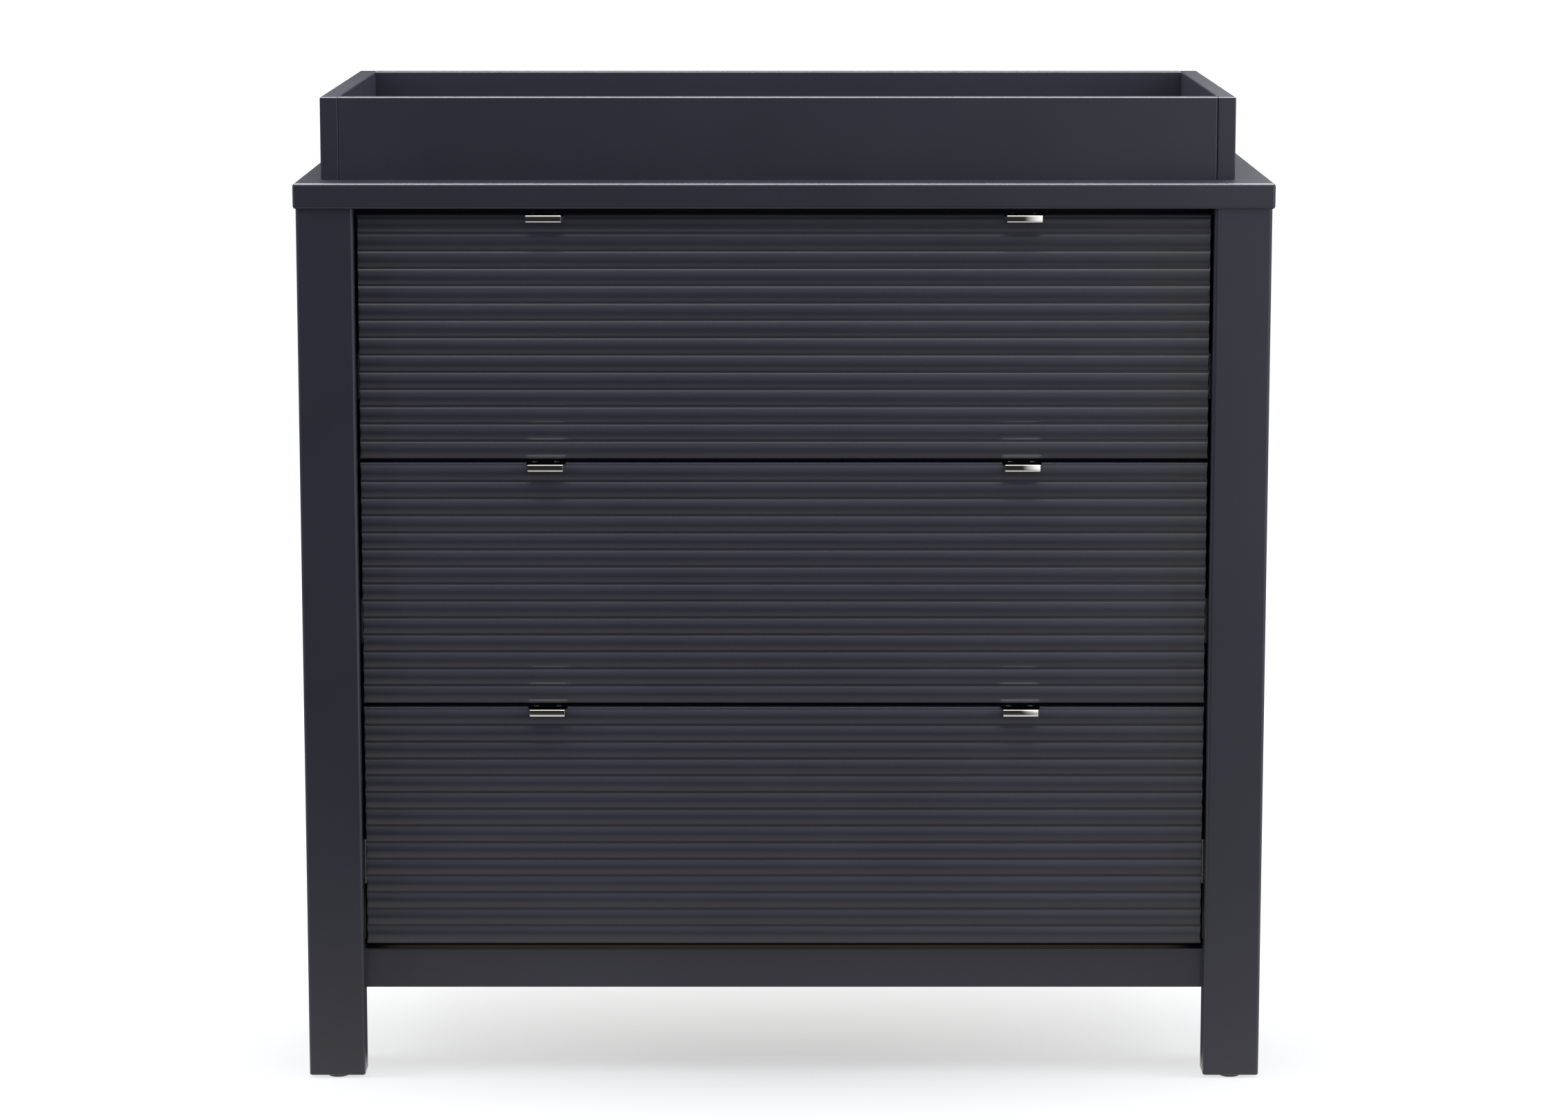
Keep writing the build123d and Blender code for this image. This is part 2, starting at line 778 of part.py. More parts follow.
def pull_plan(middle_x, bottom_z, top_z):
    """A column with the pull's outline from above: wide at the drawer, narrower at the lip."""
    plate = pull_plate_width / 2
    lip = pull_lip_width / 2
    taper_y = front_face_y - pull_projection + pull_lip_thickness + pull_taper_length
    points = (
        (middle_x - plate, pull_back_y),
        (middle_x - plate, taper_y),
        (middle_x - lip, pull_lip_front_y + pull_lip_thickness),
        (middle_x - lip, pull_lip_front_y),
        (middle_x + lip, pull_lip_front_y),
        (middle_x + lip, pull_lip_front_y + pull_lip_thickness),
        (middle_x + plate, taper_y),
        (middle_x + plate, pull_back_y),
    )
    outline = Plane.XY.offset(bottom_z) * make_face(Polyline(*points, close=True))
    return extrude(outline, top_z - bottom_z)


def pull(side, index):
    top = drawer_bottom_z(index) + front_height
    middle = side * pull_spacing / 2
    length = Pos(middle, 0, 0) * extrude(pull_section(top), pull_plate_width / 2, both=True)
    shape = length & pull_plan(middle, top - pull_lip_height, top)
    return drill(shape, [pull_screw(place, screw_clearance) for place in pull_screw_places(index)])


def drawer_cutters(index):
    cutters = [front_screw(place, screw_clearance) for place in front_screw_places(index)]
    cutters.extend(pull_screw(place, screw_clearance) for place in pull_screw_places(index))
    for side in side_names.values():
        for y in inner_slide_screw_rows():
            cutters.append(inner_slide_screw(side, index, y, screw_clearance))
    return cutters


def drawer_screws(index):
    screws = [front_screw(place) for place in front_screw_places(index)]
    screws.extend(pull_screw(place) for place in pull_screw_places(index))
    for side in side_names.values():
        for y in inner_slide_screw_rows():
            screws.append(inner_slide_screw(side, index, y))
    return screws


# ---- small parts ----
def cam_lock_with_slot(place):
    """A cam lock with a screwdriver slot in its open face."""
    side, end_x, height, face_y, inward = place
    middle_x = side * (end_x - cam_setback)
    x_span = (middle_x - cam_radius, middle_x + cam_radius)
    z_span = (height - cam_slot_width / 2, height + cam_slot_width / 2)
    slot = block(x_span, (face_y, face_y + inward * cam_slot_depth), z_span)
    return cam_lock(place) - slot


def foot_glide(place):
    x, y = place
    disc = rod((x, y, 0), (0, 0, 1), glide_radius, glide_thickness)
    disc = chamfer(disc.edges().sort_by(Axis.Z)[0], glide_chamfer)
    return disc + glide_pin(place)


# ---- write every piece ----
def write_carcass():
    cutters = carcass_cutters()
    save("top_panel", [drill(top_panel(), cutters)])
    save("tray_left", [drill(tray_side(tray_left_x, 1), cutters)])
    save("tray_right", [drill(tray_side(tray_right_x, -1), cutters)])
    save("tray_front", [drill(tray_end(tray_front_y, 1), cutters)])
    save("tray_back", [drill(tray_end(tray_back_y, -1), cutters)])
    save("tray_dowels", [tray_dowel(place) for place in tray_dowel_places()])
    save("tray_fixing_plates", [drill(tray_plate(side), cutters) for side in side_names.values()])
    save("tray_plate_screws", [plate_screw(place) for place in plate_screw_places()])
    for name, side in side_names.items():
        save(name + "_front_stile", [drill(front_stile(side), cutters)])
        save(name + "_side_front_leg", [drill(side_front_leg(side), cutters)])
        save(name + "_rear_leg", [drill(rear_leg(side), cutters)])
        save(name + "_side_rails", side_rails(side))
        save(name + "_side_panel", [side_panel(side)])
    save("slide_battens", [drill(batten, cutters) for batten in slide_battens()])
    save("front_bottom_rail", [front_bottom_rail()])
    save("bottom_cross_rail", [drill(cross_rail(bottom_cross_rail_middle_z), cutters)])
    save("front_top_rail", [drill(cross_rail(front_top_rail_middle_z), cutters)])
    save("upper_divider_rail", [drill(cross_rail(divider_middle_z(1)), cutters)])
    save("lower_divider_rail", [drill(cross_rail(divider_middle_z(2)), cutters)])
    for name, bottom in zip(("bottom", "middle", "top"), rear_rail_bottoms()):
        save("rear_" + name + "_rail", [drill(rear_rail(bottom), cutters)])
    low_joint = back_joint_z - back_panel_joint / 2
    high_joint = back_joint_z + back_panel_joint / 2
    save("back_panel_lower", [drill(back_panel(floor_clearance, low_joint), cutters)])
    save("back_panel_upper", [drill(back_panel(high_joint, carcass_top_z), cutters)])
    save("back_panel_screws", [back_screw(place) for place in back_screw_places()])
    save("cam_locks", [cam_lock_with_slot(place) for place in cam_places()])
    save("cam_bolts", [cam_bolt(place) for place in cam_places()])
    save("top_dowels", [top_dowel(place) for place in top_dowel_places()])
    save("foot_glides", [foot_glide(place) for place in glide_places()])


def write_slides():
    outer_members = []
    screws = []
    for side in side_names.values():
        for index in range(drawer_count):
            rows = outer_slide_screw_rows()
            holes = [outer_slide_screw(side, index, y, screw_clearance) for y in rows]
            outer_members.append(drill(outer_member(side, index), holes))
            screws.extend(outer_slide_screw(side, index, y) for y in rows)
    save("outer_slide_members", outer_members)
    save("outer_slide_screws", screws)
    for index, name in enumerate(drawer_names):
        members = [middle_member(side, index) for side in side_names.values()]
        save(name + "_middle_slide_members", members)


def write_drawer(index, name):
    cutters = drawer_cutters(index)
    sides = side_names.values()
    save(name + "_drawer_front", [drill(drawer_front(index), cutters)])
    save(name + "_drawer_sides", [drill(box_side(side, index), cutters) for side in sides])
    save(name + "_drawer_ends", [drill(board, cutters) for board in box_ends(index)])
    save(name + "_drawer_bottom", [box_bottom_space(index, 0)])
    save(name + "_drawer_pulls", [pull(side, index) for side in sides])
    inner_members = [drill(inner_member(side, index), cutters) for side in sides]
    save(name + "_drawer_slide_members", inner_members)
    save(name + "_drawer_screws", drawer_screws(index))


write_carcass()
write_slides()
for number, drawer_name in enumerate(drawer_names):
    write_drawer(number, drawer_name)
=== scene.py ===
"""Looks for a three-drawer changing table: ribbed drawer fronts, pulls, slides, finishes and a studio.

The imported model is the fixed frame. Every place comes from its boxes, and every length is in metres.
"""

import math

import bmesh
import bpy
from mathutils import Matrix, Vector


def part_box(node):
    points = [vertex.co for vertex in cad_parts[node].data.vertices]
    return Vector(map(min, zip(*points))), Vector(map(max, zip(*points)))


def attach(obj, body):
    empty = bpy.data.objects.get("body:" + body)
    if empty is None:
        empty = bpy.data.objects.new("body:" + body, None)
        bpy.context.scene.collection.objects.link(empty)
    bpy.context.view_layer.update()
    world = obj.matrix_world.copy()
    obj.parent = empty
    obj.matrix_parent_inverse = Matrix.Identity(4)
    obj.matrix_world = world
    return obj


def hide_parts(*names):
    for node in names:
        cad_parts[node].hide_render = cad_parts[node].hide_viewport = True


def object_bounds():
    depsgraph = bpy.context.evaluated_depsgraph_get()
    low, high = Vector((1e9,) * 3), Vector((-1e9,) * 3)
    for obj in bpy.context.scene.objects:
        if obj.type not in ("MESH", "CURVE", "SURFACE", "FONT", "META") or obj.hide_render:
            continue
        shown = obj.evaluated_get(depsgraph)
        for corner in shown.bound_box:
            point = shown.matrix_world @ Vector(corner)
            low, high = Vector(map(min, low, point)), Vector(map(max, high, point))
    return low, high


bl_info = {
    "name": "Changing Table Looks",
    "version": (1, 0, 0),
    "blender": (4, 5, 0),
    "location": "3D View > Sidebar > Changing Table",
    "description": "Ribbed fronts, pulls, slides, finishes and a studio around a packed changing table",
    "category": "Object",
}

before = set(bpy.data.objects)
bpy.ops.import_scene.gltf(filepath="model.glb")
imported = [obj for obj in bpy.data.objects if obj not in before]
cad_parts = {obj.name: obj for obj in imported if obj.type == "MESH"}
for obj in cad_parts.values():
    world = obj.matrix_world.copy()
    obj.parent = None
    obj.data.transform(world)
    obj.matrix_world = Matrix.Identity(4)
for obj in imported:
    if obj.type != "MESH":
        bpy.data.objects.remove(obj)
cad_low, cad_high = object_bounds()

MM = 0.001
DRAWERS = ("upper", "middle", "lower")
DRAWER_NODES = tuple(name + "_drawer" for name in DRAWERS)
QUARTER_TURN = math.pi / 2
SAME_POINT = 1e-6
NEARLY = 1e-5


# ---- settings ----
def length(label, hint, millimetres):
    """A length that the sidebar shows in the scene's unit."""
    return bpy.props.FloatProperty(
        name=label, description=hint, default=millimetres * MM, min=0.0, unit="LENGTH", precision=4
    )


def colour(label, hint, value):
    """A colour that the sidebar shows as a swatch."""
    return bpy.props.FloatVectorProperty(
        name=label, description=hint, default=value, min=0.0, max=1.0, size=3, subtype="COLOR"
    )


def share(label, hint, value):
    """A number from 0 to 1."""
    return bpy.props.FloatProperty(
        name=label, description=hint, default=value, min=0.0, max=1.0, subtype="FACTOR"
    )


def count(label, hint, value):
    """A whole number from 1 up."""
    return bpy.props.IntProperty(name=label, description=hint, default=value, min=1)


def power(label, hint, watts):
    """A light's power."""
    return bpy.props.FloatProperty(name=label, description=hint, default=watts, min=0.0, unit="POWER")


class FinishSettings(bpy.types.PropertyGroup):
    """Colours and gloss of the paint, the bare wood and the metal."""

    paint: colour("Paint", "Dark navy charcoal paint", (0.0165, 0.0176, 0.0265))
    paint_roughness: share("Paint roughness", "How matt the satin paint is", 0.3)
    paint_gloss: share("Paint gloss", "How strongly the paint reflects", 0.4)
    pine_light: colour("Pine, light", "Wood between the growth rings", (0.68, 0.50, 0.31))
    pine_dark: colour("Pine, dark", "Growth rings of the wood", (0.50, 0.33, 0.18))
    nickel: colour("Nickel", "Polished plate of the pulls", (0.83, 0.81, 0.78))
    zinc: colour("Zinc", "Plated steel of slides and screws", (0.60, 0.61, 0.63))


class FrontSettings(bpy.types.PropertyGroup):
    """Shape of a ribbed drawer front."""

    rib_count: count("Ribs", "Ribs on one drawer front", 14)
    rib_depth: length("Rib depth", "From the groove's floor to the rib's crest", 2.6)
    groove_width: length("Groove width", "Flat floor between two ribs", 2.0)
    top_margin: length("Top margin", "Rounded edge above the first rib", 2.6)
    bottom_margin: length("Bottom margin", "Rounded edge below the last rib", 2.0)
    end_radius: length("End radius", "Rounding of the front's two upright edges", 3.0)
    softness: length("Softness", "How wide the paint rounds the ribs' ends", 0.9)
    notch_clearance: length("Notch clearance", "Gap around a pull's plate in its notch", 0.2)


class PullSettings(bpy.types.PropertyGroup):
    """Shape of an edge pull, whose width, reach and height come from the frame."""

    plate_thickness: length("Plate thickness", "Plate let into the drawer's top edge", 2.0)
    lip_thickness: length("Lip thickness", "Lip that the fingers hold", 2.4)
    lip_width: length("Lip width", "Width of the lip", 34.5)
    taper: length("Taper", "Length over which the plate narrows to the lip", 6.0)
    upper_radius: length("Upper radius", "Rounding of the lip's upper edge", 1.1)
    lower_radius: length("Lower radius", "Rounding of the lip's lower edge", 2.3)
    bend_radius: length("Bend radius", "Inside of the bend between plate and lip", 1.0)
    edge: length("Edge", "Rounding of every other edge", 0.25)


class SlideSettings(bpy.types.PropertyGroup):
    """Balls and cages of the drawer slides."""

    metal: length("Metal", "Thickness of the slides' steel", 1.2)
    ball: length("Ball", "Diameter of a ball", 3.2)
    pitch: length("Ball pitch", "Distance from ball to ball", 9.0)
    balls: count("Balls", "Balls in one row", 19)
    cage_thickness: length("Cage thickness", "Strip that keeps the balls apart", 0.5)
    cage_width: length("Cage width", "Width of that strip", 6.0)


class ScrewSettings(bpy.types.PropertyGroup):
    """Heads of the screws, as shares of a head's radius and height."""

    crown: share("Crown", "Radius of the head's top as a share of its rim", 0.72)
    recess_length: share("Recess length", "Length of the cross as a share of the head", 0.55)
    recess_width: share("Recess width", "Width of the cross as a share of the head", 0.16)
    recess_depth: share("Recess depth", "Depth of the cross as a share of the height", 0.6)
    seed: count("Seed", "Turns every screw's cross its own way", 7)


class StageSettings(bpy.types.PropertyGroup):
    """Camera, floor and lights."""

    camera_distance: length("Camera distance", "In front of the table's middle", 4800.0)
    camera_height: length("Camera height", "Above the floor", 1273.0)
    camera_tilt: bpy.props.FloatProperty(
        name="Camera tilt", description="Below the horizon", default=math.radians(9.29), subtype="ANGLE"
    )
    lens: bpy.props.FloatProperty(
        name="Lens", description="Focal length on a 36 mm sensor", default=107.27, unit="CAMERA"
    )
    # Glow of the floor in the middle of its painted shadow under the table; farther out the floor glows
    # fully.
    painted_shadow_glow: share("Floor glow", "Light that the floor gives by itself", 0.57)
    floor_white: share("Floor white", "How much light the floor gives back", 0.12)
    overhead: power("Overhead", "Softbox above the table", 95.0)
    back_light: power("Back light", "Softbox behind the table", 45.0)
    side_light: power("Side light", "Each softbox beside the table", 130.0)


# ---- node trees ----
class Wire:
    """One output of a node tree, which takes part in plain arithmetic."""

    def __init__(self, tree, socket):
        self.tree = tree
        self.socket = socket

    def math(self, operation, *others):
        node = self.tree.nodes.new("ShaderNodeMath")
        node.operation = operation
        for place, value in enumerate((self, *others)):
            feed(node.inputs[place], value)
        return Wire(self.tree, node.outputs[0])

    def __add__(self, other):
        return self.math("ADD", other)

    def __sub__(self, other):
        return self.math("SUBTRACT", other)

    def __mul__(self, other):
        return self.math("MULTIPLY", other)

    def __truediv__(self, other):
        return self.math("DIVIDE", other)

    def between(self, low, high):
        """Keeps the value between two limits."""
        return self.math("MAXIMUM", low).math("MINIMUM", high)


def feed(socket, value):
    """Gives a node's input a wire or a plain value."""
    if isinstance(value, Wire):
        value.tree.links.new(value.socket, socket)
    else:
        socket.default_value = value


def grow(tree, kind, inputs=None, output=0, **settings):
    """Adds a node, sets it up, and returns the wire of one of its outputs."""
    node = tree.nodes.new(kind)
    for name, value in settings.items():
        setattr(node, name, value)
    for key, value in (inputs or {}).items():
        feed(node.inputs[key], value)
    return Wire(tree, node.outputs[output]) if node.outputs else node


def geometry_tree(name, lengths, others):
    """A Geometry Nodes tree with the named inputs; returns it and the inputs' wires."""
    tree = bpy.data.node_groups.new(name, "GeometryNodeTree")
    tree.interface.new_socket("Geometry", in_out="OUTPUT", socket_type="NodeSocketGeometry")
    sockets = {"Geometry": "Geometry", **dict.fromkeys(lengths, "Float"), **others, "Material": "Material"}
    for label, kind in sockets.items():
        tree.interface.new_socket(label, in_out="INPUT", socket_type="NodeSocket" + kind)
    entry = tree.nodes.new("NodeGroupInput")
    return tree, {socket.name: Wire(tree, socket) for socket in entry.outputs if socket.name}


def values_of(settings, *labels):
    """Settings by the labels of the inputs that take them."""
    return {label: getattr(settings, label.lower().replace(" ", "_")) for label in labels}


def close_tree(tree, geometry, material=None):
    """Ends a tree in real geometry, with its material if it has only one."""
    real = grow(tree, "GeometryNodeRealizeInstances", {0: geometry})
    if material:
        real = grow(tree, "GeometryNodeSetMaterial", {"Geometry": real, "Material": material})
    grow(tree, "NodeGroupOutput", {0: real})


def join(tree, *parts):
    """Joins pieces of geometry."""
    node = tree.nodes.new("GeometryNodeJoinGeometry")
    for part in parts:
        feed(node.inputs[0], part)
    return Wire(tree, node.outputs[0])


def vector(tree, x, y, z):
    """Three numbers as one vector."""
    return grow(tree, "ShaderNodeCombineXYZ", {"X": x, "Y": y, "Z": z})


def kept_mesh(name, shape):
    """Turns a finished bmesh into a mesh and frees it."""
    mesh = bpy.data.meshes.new(name)
    shape.to_mesh(mesh)
    shape.free()
    return mesh


def new_object(name, data):
    """Adds an object to the scene."""
    made = bpy.data.objects.new(name, data)
    bpy.context.scene.collection.objects.link(made)
    return made


def grown_object(name, tree, values, base=None):
    """Runs a tree once and keeps its result as a plain mesh."""
    carrier = new_object(name, base or bpy.data.meshes.new(name + "_base"))
    modifier = carrier.modifiers.new("Shape", "NODES")
    modifier.node_group = tree
    for item in tree.interface.items_tree:
        if item.in_out == "INPUT" and item.name in values:
            modifier[item.identifier] = values[item.name]
    return finished_object(carrier)


def finished_object(carrier):
    """Turns what an object's modifiers make into its plain mesh, and removes them."""
    depsgraph = bpy.context.evaluated_depsgraph_get()
    mesh = bpy.data.meshes.new_from_object(carrier.evaluated_get(depsgraph), depsgraph=depsgraph)
    carrier.modifiers.clear()
    carrier.data = mesh
    return carrier


def shade(piece, sharp_degrees):
    """Smooth shading that breaks at edges sharper than the angle."""
    piece.data.polygons.foreach_set("use_smooth", [True] * len(piece.data.polygons))
    piece.data.set_sharp_from_angle(angle=math.radians(sharp_degrees))


def ride(piece, body, slot, *nodes):
    """Puts a finished piece on its body, in place of the nodes it stands for."""
    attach(piece, body)
    if nodes:
        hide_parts(*nodes)


# ---- what the frame says ----
def merged_copy(node):
    """A node's mesh with its loose triangles joined."""
    shape = bmesh.new()
    shape.from_mesh(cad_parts[node].data)
    bmesh.ops.remove_doubles(shape, verts=shape.verts, dist=SAME_POINT)
    return shape


def solids_of(node):
    """The corner points of every separate solid in a node, one list for each."""
    shape = merged_copy(node)
    waiting = set(shape.verts)
    solids = []
    while waiting:
        group = [waiting.pop()]
        for vertex in group:
            for edge in vertex.link_edges:
                other = edge.other_vert(vertex)
                if other in waiting:
                    waiting.remove(other)
                    group.append(other)
        solids.append([vertex.co.copy() for vertex in group])
    shape.free()
    return sorted(solids, key=lambda points: tuple(round(value, 5) for value in box_of(points)[0]))


def box_of(points):
    """Lowest and highest corner of some points."""
    low = Vector([min(point[axis] for point in points) for axis in range(3)])
    high = Vector([max(point[axis] for point in points) for axis in range(3)])
    return low, high


def boxes_in(node):
    """The box of every separate solid in a node."""
    return [box_of(points) for points in solids_of(node)]


def screws_in(node):
    """The facts of every screw in a node."""
    return [screw_facts(points) for points in solids_of(node)]


def screw_facts(points):
    """A screw's seat, the way its head faces, and the sizes of its head and shank."""
    low, high = box_of(points)
    spans = high - low
    axis = max(range(3), key=lambda each: spans[each])
    middle = (low + high) / 2

    def radius(point):
        across = point - middle
        across[axis] = 0.0
        return across.length

    head_radius = max(radius(point) for point in points)
    rim = [point[axis] for point in points if radius(point) > 0.95 * head_radius]
    head_height = max(rim) - min(rim)
    way = Vector((0.0, 0.0, 0.0))
    way[axis] = 1.0 if max(rim) > middle[axis] else -1.0
    seat = middle.copy()
    seat[axis] = min(rim) if way[axis] > 0 else max(rim)
    tip = low[axis] if way[axis] > 0 else high[axis]
    shank_radius = max(radius(point) for point in points if abs(point[axis] - tip) < NEARLY)
    head = (head_radius, head_radius, head_height)
    shank = (shank_radius, shank_radius, abs(seat[axis] - tip))
    return seat, way, head, shank


# ---- finishes ----
def blank_material(name):
    """A material with an empty tree; returns both."""
    material = bpy.data.materials.new(name)
    material.use_nodes = True
    material.node_tree.nodes.clear()
    return material, material.node_tree


def new_finish(name):
    """A new material; returns it with its surface shader and the wire of the object's own coordinates."""
    material, tree = blank_material(name)
    shader = tree.nodes.new("ShaderNodeBsdfPrincipled")
    grow(tree, "ShaderNodeOutputMaterial", {"Surface": Wire(tree, shader.outputs["BSDF"])})
    return material, shader, grow(tree, "ShaderNodeTexCoord", output="Object")


def stretched(place, scale):
    """Places multiplied along each axis, so that a pattern on them comes out longer along the small one."""
    return grow(place.tree, "ShaderNodeMapping", {"Vector": place, "Scale": scale})


def noise(place, scale=1.0, detail=2.0, distortion=0.0):
    """Soft random spots, about one over the scale in metres wide."""
    inputs = {"Vector": place, "Scale": scale, "Detail": detail, "Distortion": distortion}
    return grow(place.tree, "ShaderNodeTexNoise", inputs)


def spread(value, low, high, start=0.3, end=0.7):
    """Gives low where the value is at start, high where it is at end, and an even change between."""
    inputs = {"Value": value, "From Min": start, "From Max": end, "To Min": low, "To Max": high}
    return grow(value.tree, "ShaderNodeMapRange", inputs)


def blend_colours(factor, first, second):
    """Goes from the first colour to the second as the factor goes from 0 to 1."""
    node = factor.tree.nodes.new("ShaderNodeMix")
    node.data_type = "RGBA"
    feed(node.inputs["Factor"], factor)
    for socket, value in ((node.inputs[6], first), (node.inputs[7], second)):
        feed(socket, value if isinstance(value, Wire) else (*value, 1.0))
    return Wire(factor.tree, node.outputs[2])


def dress(shader, looks):
    """Feeds a shader's inputs by their names."""
    for name, value in looks.items():
        feed(shader.inputs[name], value)


def relief(height, depth, strength=1.0):
    """Bumps of a depth, for the shader's normal."""
    inputs = {"Height": height, "Distance": depth, "Strength": strength}
    return grow(height.tree, "ShaderNodeBump", inputs)


def scaled(value, factor):
    """A colour made lighter or darker."""
    return tuple(part * factor for part in value)


def shades(factor, base, dark, light):
    """From a darker to a lighter shade of one colour."""
    return blend_colours(factor, scaled(base, dark), scaled(base, light))


def satin_paint(name, settings, brightness=1.0):
    """Sprayed satin paint: a faint orange peel, and small changes of colour and gloss."""
    material, shader, place = new_finish(name)
    tone = spread(noise(place, scale=7.0, detail=3.0), 0.0, 1.0)
    paint = scaled(settings.paint, brightness)
    low = settings.paint_roughness - 0.03
    spots = noise(place, scale=12.0, detail=1.0)
    peel = noise(place, scale=55.0, detail=0.0)
    dress(shader, {
        "Base Color": shades(tone, paint, 0.93, 1.07),
        "Roughness": spread(spots, low, low + 0.06, start=0.1, end=0.9),
        "Specular IOR Level": settings.paint_gloss,
        "Normal": relief(peel, depth=0.02 * MM, strength=0.2),
    })
    return material


def thin_primer(name, settings):
    """The matt first coat on rails behind the drawers, with the wood's fibres showing through; at 0.6 of the
    paint's brightness it is partly painted shade that keeps the gaps between the drawers dark.
    """
    material, shader, place = new_finish(name)
    fibres = noise(stretched(place, (14.0, 500.0, 500.0)))
    primer_and_shade = scaled(settings.paint, 0.6)
    dress(shader, {
        "Base Color": blend_colours(fibres, scaled(primer_and_shade, 0.8), primer_and_shade),
        "Roughness": spread(fibres, 0.65, 0.8),
        "Specular IOR Level": 0.2,
    })
    return material


def bare_wood(name, light, dark, along, gloss=0.55):
    """Wood with its grain along one axis: growth rings, fine fibres and pores."""
    material, shader, place = new_finish(name)
    ring_scale = [26.0, 26.0, 26.0]
    ring_scale[along] = 1.1
    fibre_scale = [900.0, 900.0, 900.0]
    fibre_scale[along] = 14.0
    rings = noise(stretched(place, ring_scale), detail=4.0, distortion=0.6)
    bands = spread((rings * 9.0).math("FRACT"), 0.0, 1.0, start=0.15, end=0.95)
    fibres = noise(stretched(place, fibre_scale))
    ringed = blend_colours(bands * 0.75, light, dark)
    fibred = blend_colours(spread(fibres, 0.0, 0.35), ringed, scaled(dark, 0.8))
    dress(shader, {
        "Base Color": fibred,
        "Roughness": spread(fibres, gloss - 0.08, gloss + 0.08),
        "Normal": relief(fibres, depth=0.06 * MM, strength=0.6),
    })
    return material


def plated_steel(name, base, roughness, along=1):
    """Zinc plate over rolled steel: fine lines along the sheet and faint crystals."""
    material, shader, place = new_finish(name)
    scale = [1500.0, 1500.0, 1500.0]
    scale[along] = 25.0
    lines = noise(stretched(place, scale))
    crystals = grow(place.tree, "ShaderNodeTexVoronoi", {"Vector": place, "Scale": 260.0}, "Distance")
    tone = spread(crystals, 0.0, 1.0, start=0.0, end=0.8)
    dress(shader, {
        "Base Color": shades(tone, base, 0.88, 1.1),
        "Roughness": spread(lines, roughness - 0.07, roughness + 0.07),
        "Normal": relief(lines, depth=0.01 * MM, strength=0.4),
        "Metallic": 1.0,
    })
    return material


def polished_nickel(name, settings):
    """Polished plate with faint wheel marks along the pull."""
    material, shader, place = new_finish(name)
    marks = noise(stretched(place, (40.0, 400.0, 400.0)))
    tone = spread(noise(place, scale=45.0), 0.0, 1.0)
    dress(shader, {
        "Base Color": blend_colours(tone, scaled(settings.nickel, 0.96), settings.nickel),
        "Roughness": spread(marks, 0.05, 0.09),
        "Metallic": 1.0,
    })
    return material


def cast_zinc(name):
    """Die-cast zinc with a grainy skin."""
    material, shader, place = new_finish(name)
    grains = noise(place, scale=900.0, detail=3.0)
    base = (0.55, 0.55, 0.57)
    dress(shader, {
        "Base Color": shades(grains, base, 0.8, 1.15),
        "Roughness": spread(grains, 0.38, 0.55),
        "Normal": relief(grains, depth=0.05 * MM, strength=0.6),
        "Metallic": 1.0,
    })
    return material


def moulded_plastic(name):
    """Dark glide plastic with a spark-eroded skin."""
    material, shader, place = new_finish(name)
    grain = noise(place, scale=1500.0)
    base = (0.035, 0.035, 0.038)
    dress(shader, {
        "Base Color": shades(grain, base, 0.8, 1.3),
        "Roughness": spread(grain, 0.5, 0.65),
        "Normal": relief(grain, depth=0.04 * MM, strength=0.7),
    })
    return material


def hardboard(name):
    """Dark painted hardboard with a pressed, slightly fibrous face."""
    material, shader, place = new_finish(name)
    fibres = noise(place, scale=380.0, detail=4.0, distortion=1.5)
    base = (0.022, 0.023, 0.029)
    dress(shader, {
        "Base Color": shades(fibres, base, 0.75, 1.3),
        "Roughness": spread(fibres, 0.45, 0.6),
        "Normal": relief(fibres, depth=0.08 * MM, strength=0.6),
    })
    return material


finishes = {}


def make_finishes(settings):
    """Every material of the table, by the name that the pieces ask for."""
    light, dark = settings.pine_light, settings.pine_dark
    across, deep, up = 0, 1, 2
    finishes.update({
        "paint": satin_paint("satin_paint", settings),
        # The fronts get a copy of the same paint 5% lighter: painted light, standing in for the ribbed fronts
        # reading lighter than the flat boards.
        "front_paint": satin_paint("satin_front_paint", settings, 1.05),
        "primer": thin_primer("thin_primer", settings),
        "pine_across": bare_wood("pine_across", light, dark, across),
        "pine_deep": bare_wood("pine_deep", light, dark, deep, 0.42),
        "pine_ends": bare_wood("pine_ends", light, dark, across, 0.42),
        "ply": bare_wood("thin_plywood", scaled(light, 0.92), scaled(dark, 1.15), deep, 0.5),
        "beech": bare_wood("beech_dowel", (0.66, 0.50, 0.33), (0.55, 0.38, 0.23), across),
        "beech_up": bare_wood("beech_dowel_up", (0.66, 0.50, 0.33), (0.55, 0.38, 0.23), up),
        "hardboard": hardboard("painted_hardboard"),
        "nickel": polished_nickel("polished_nickel", settings),
        "zinc": plated_steel("zinc_steel", settings.zinc, 0.3),
        "screw_zinc": plated_steel("screw_zinc", settings.zinc, 0.34, up),
        "ball_steel": plated_steel("ball_steel", (0.72, 0.72, 0.73), 0.16),
        "cast_zinc": cast_zinc("cast_zinc"),
        "plastic": moulded_plastic("glide_plastic"),
    })


SLOT_FINISH = {
    "painted_wood": "paint",
    "painted_drawer_front": "front_paint",
    "drawer_bottom_board": "ply",
    "inner_frame_wood": "pine_across",
    "back_board": "hardboard",
    "polished_metal": "nickel",
    "zinc_steel": "zinc",
    "zinc_cast": "cast_zinc",
    "beech_dowel": "beech",
    "dark_glide_plastic": "plastic",
}
# The rails and slide battens behind the drawers take the darker primer; its darkness is partly painted shade,
# so that the gaps between the drawers stay dark.
PRIMED_NODES = (
    "bottom_cross_rail", "front_top_rail", "lower_divider_rail", "upper_divider_rail", "slide_battens",
)
NODE_FINISH = {**dict.fromkeys(PRIMED_NODES, "primer"), "top_dowels": "beech_up"}


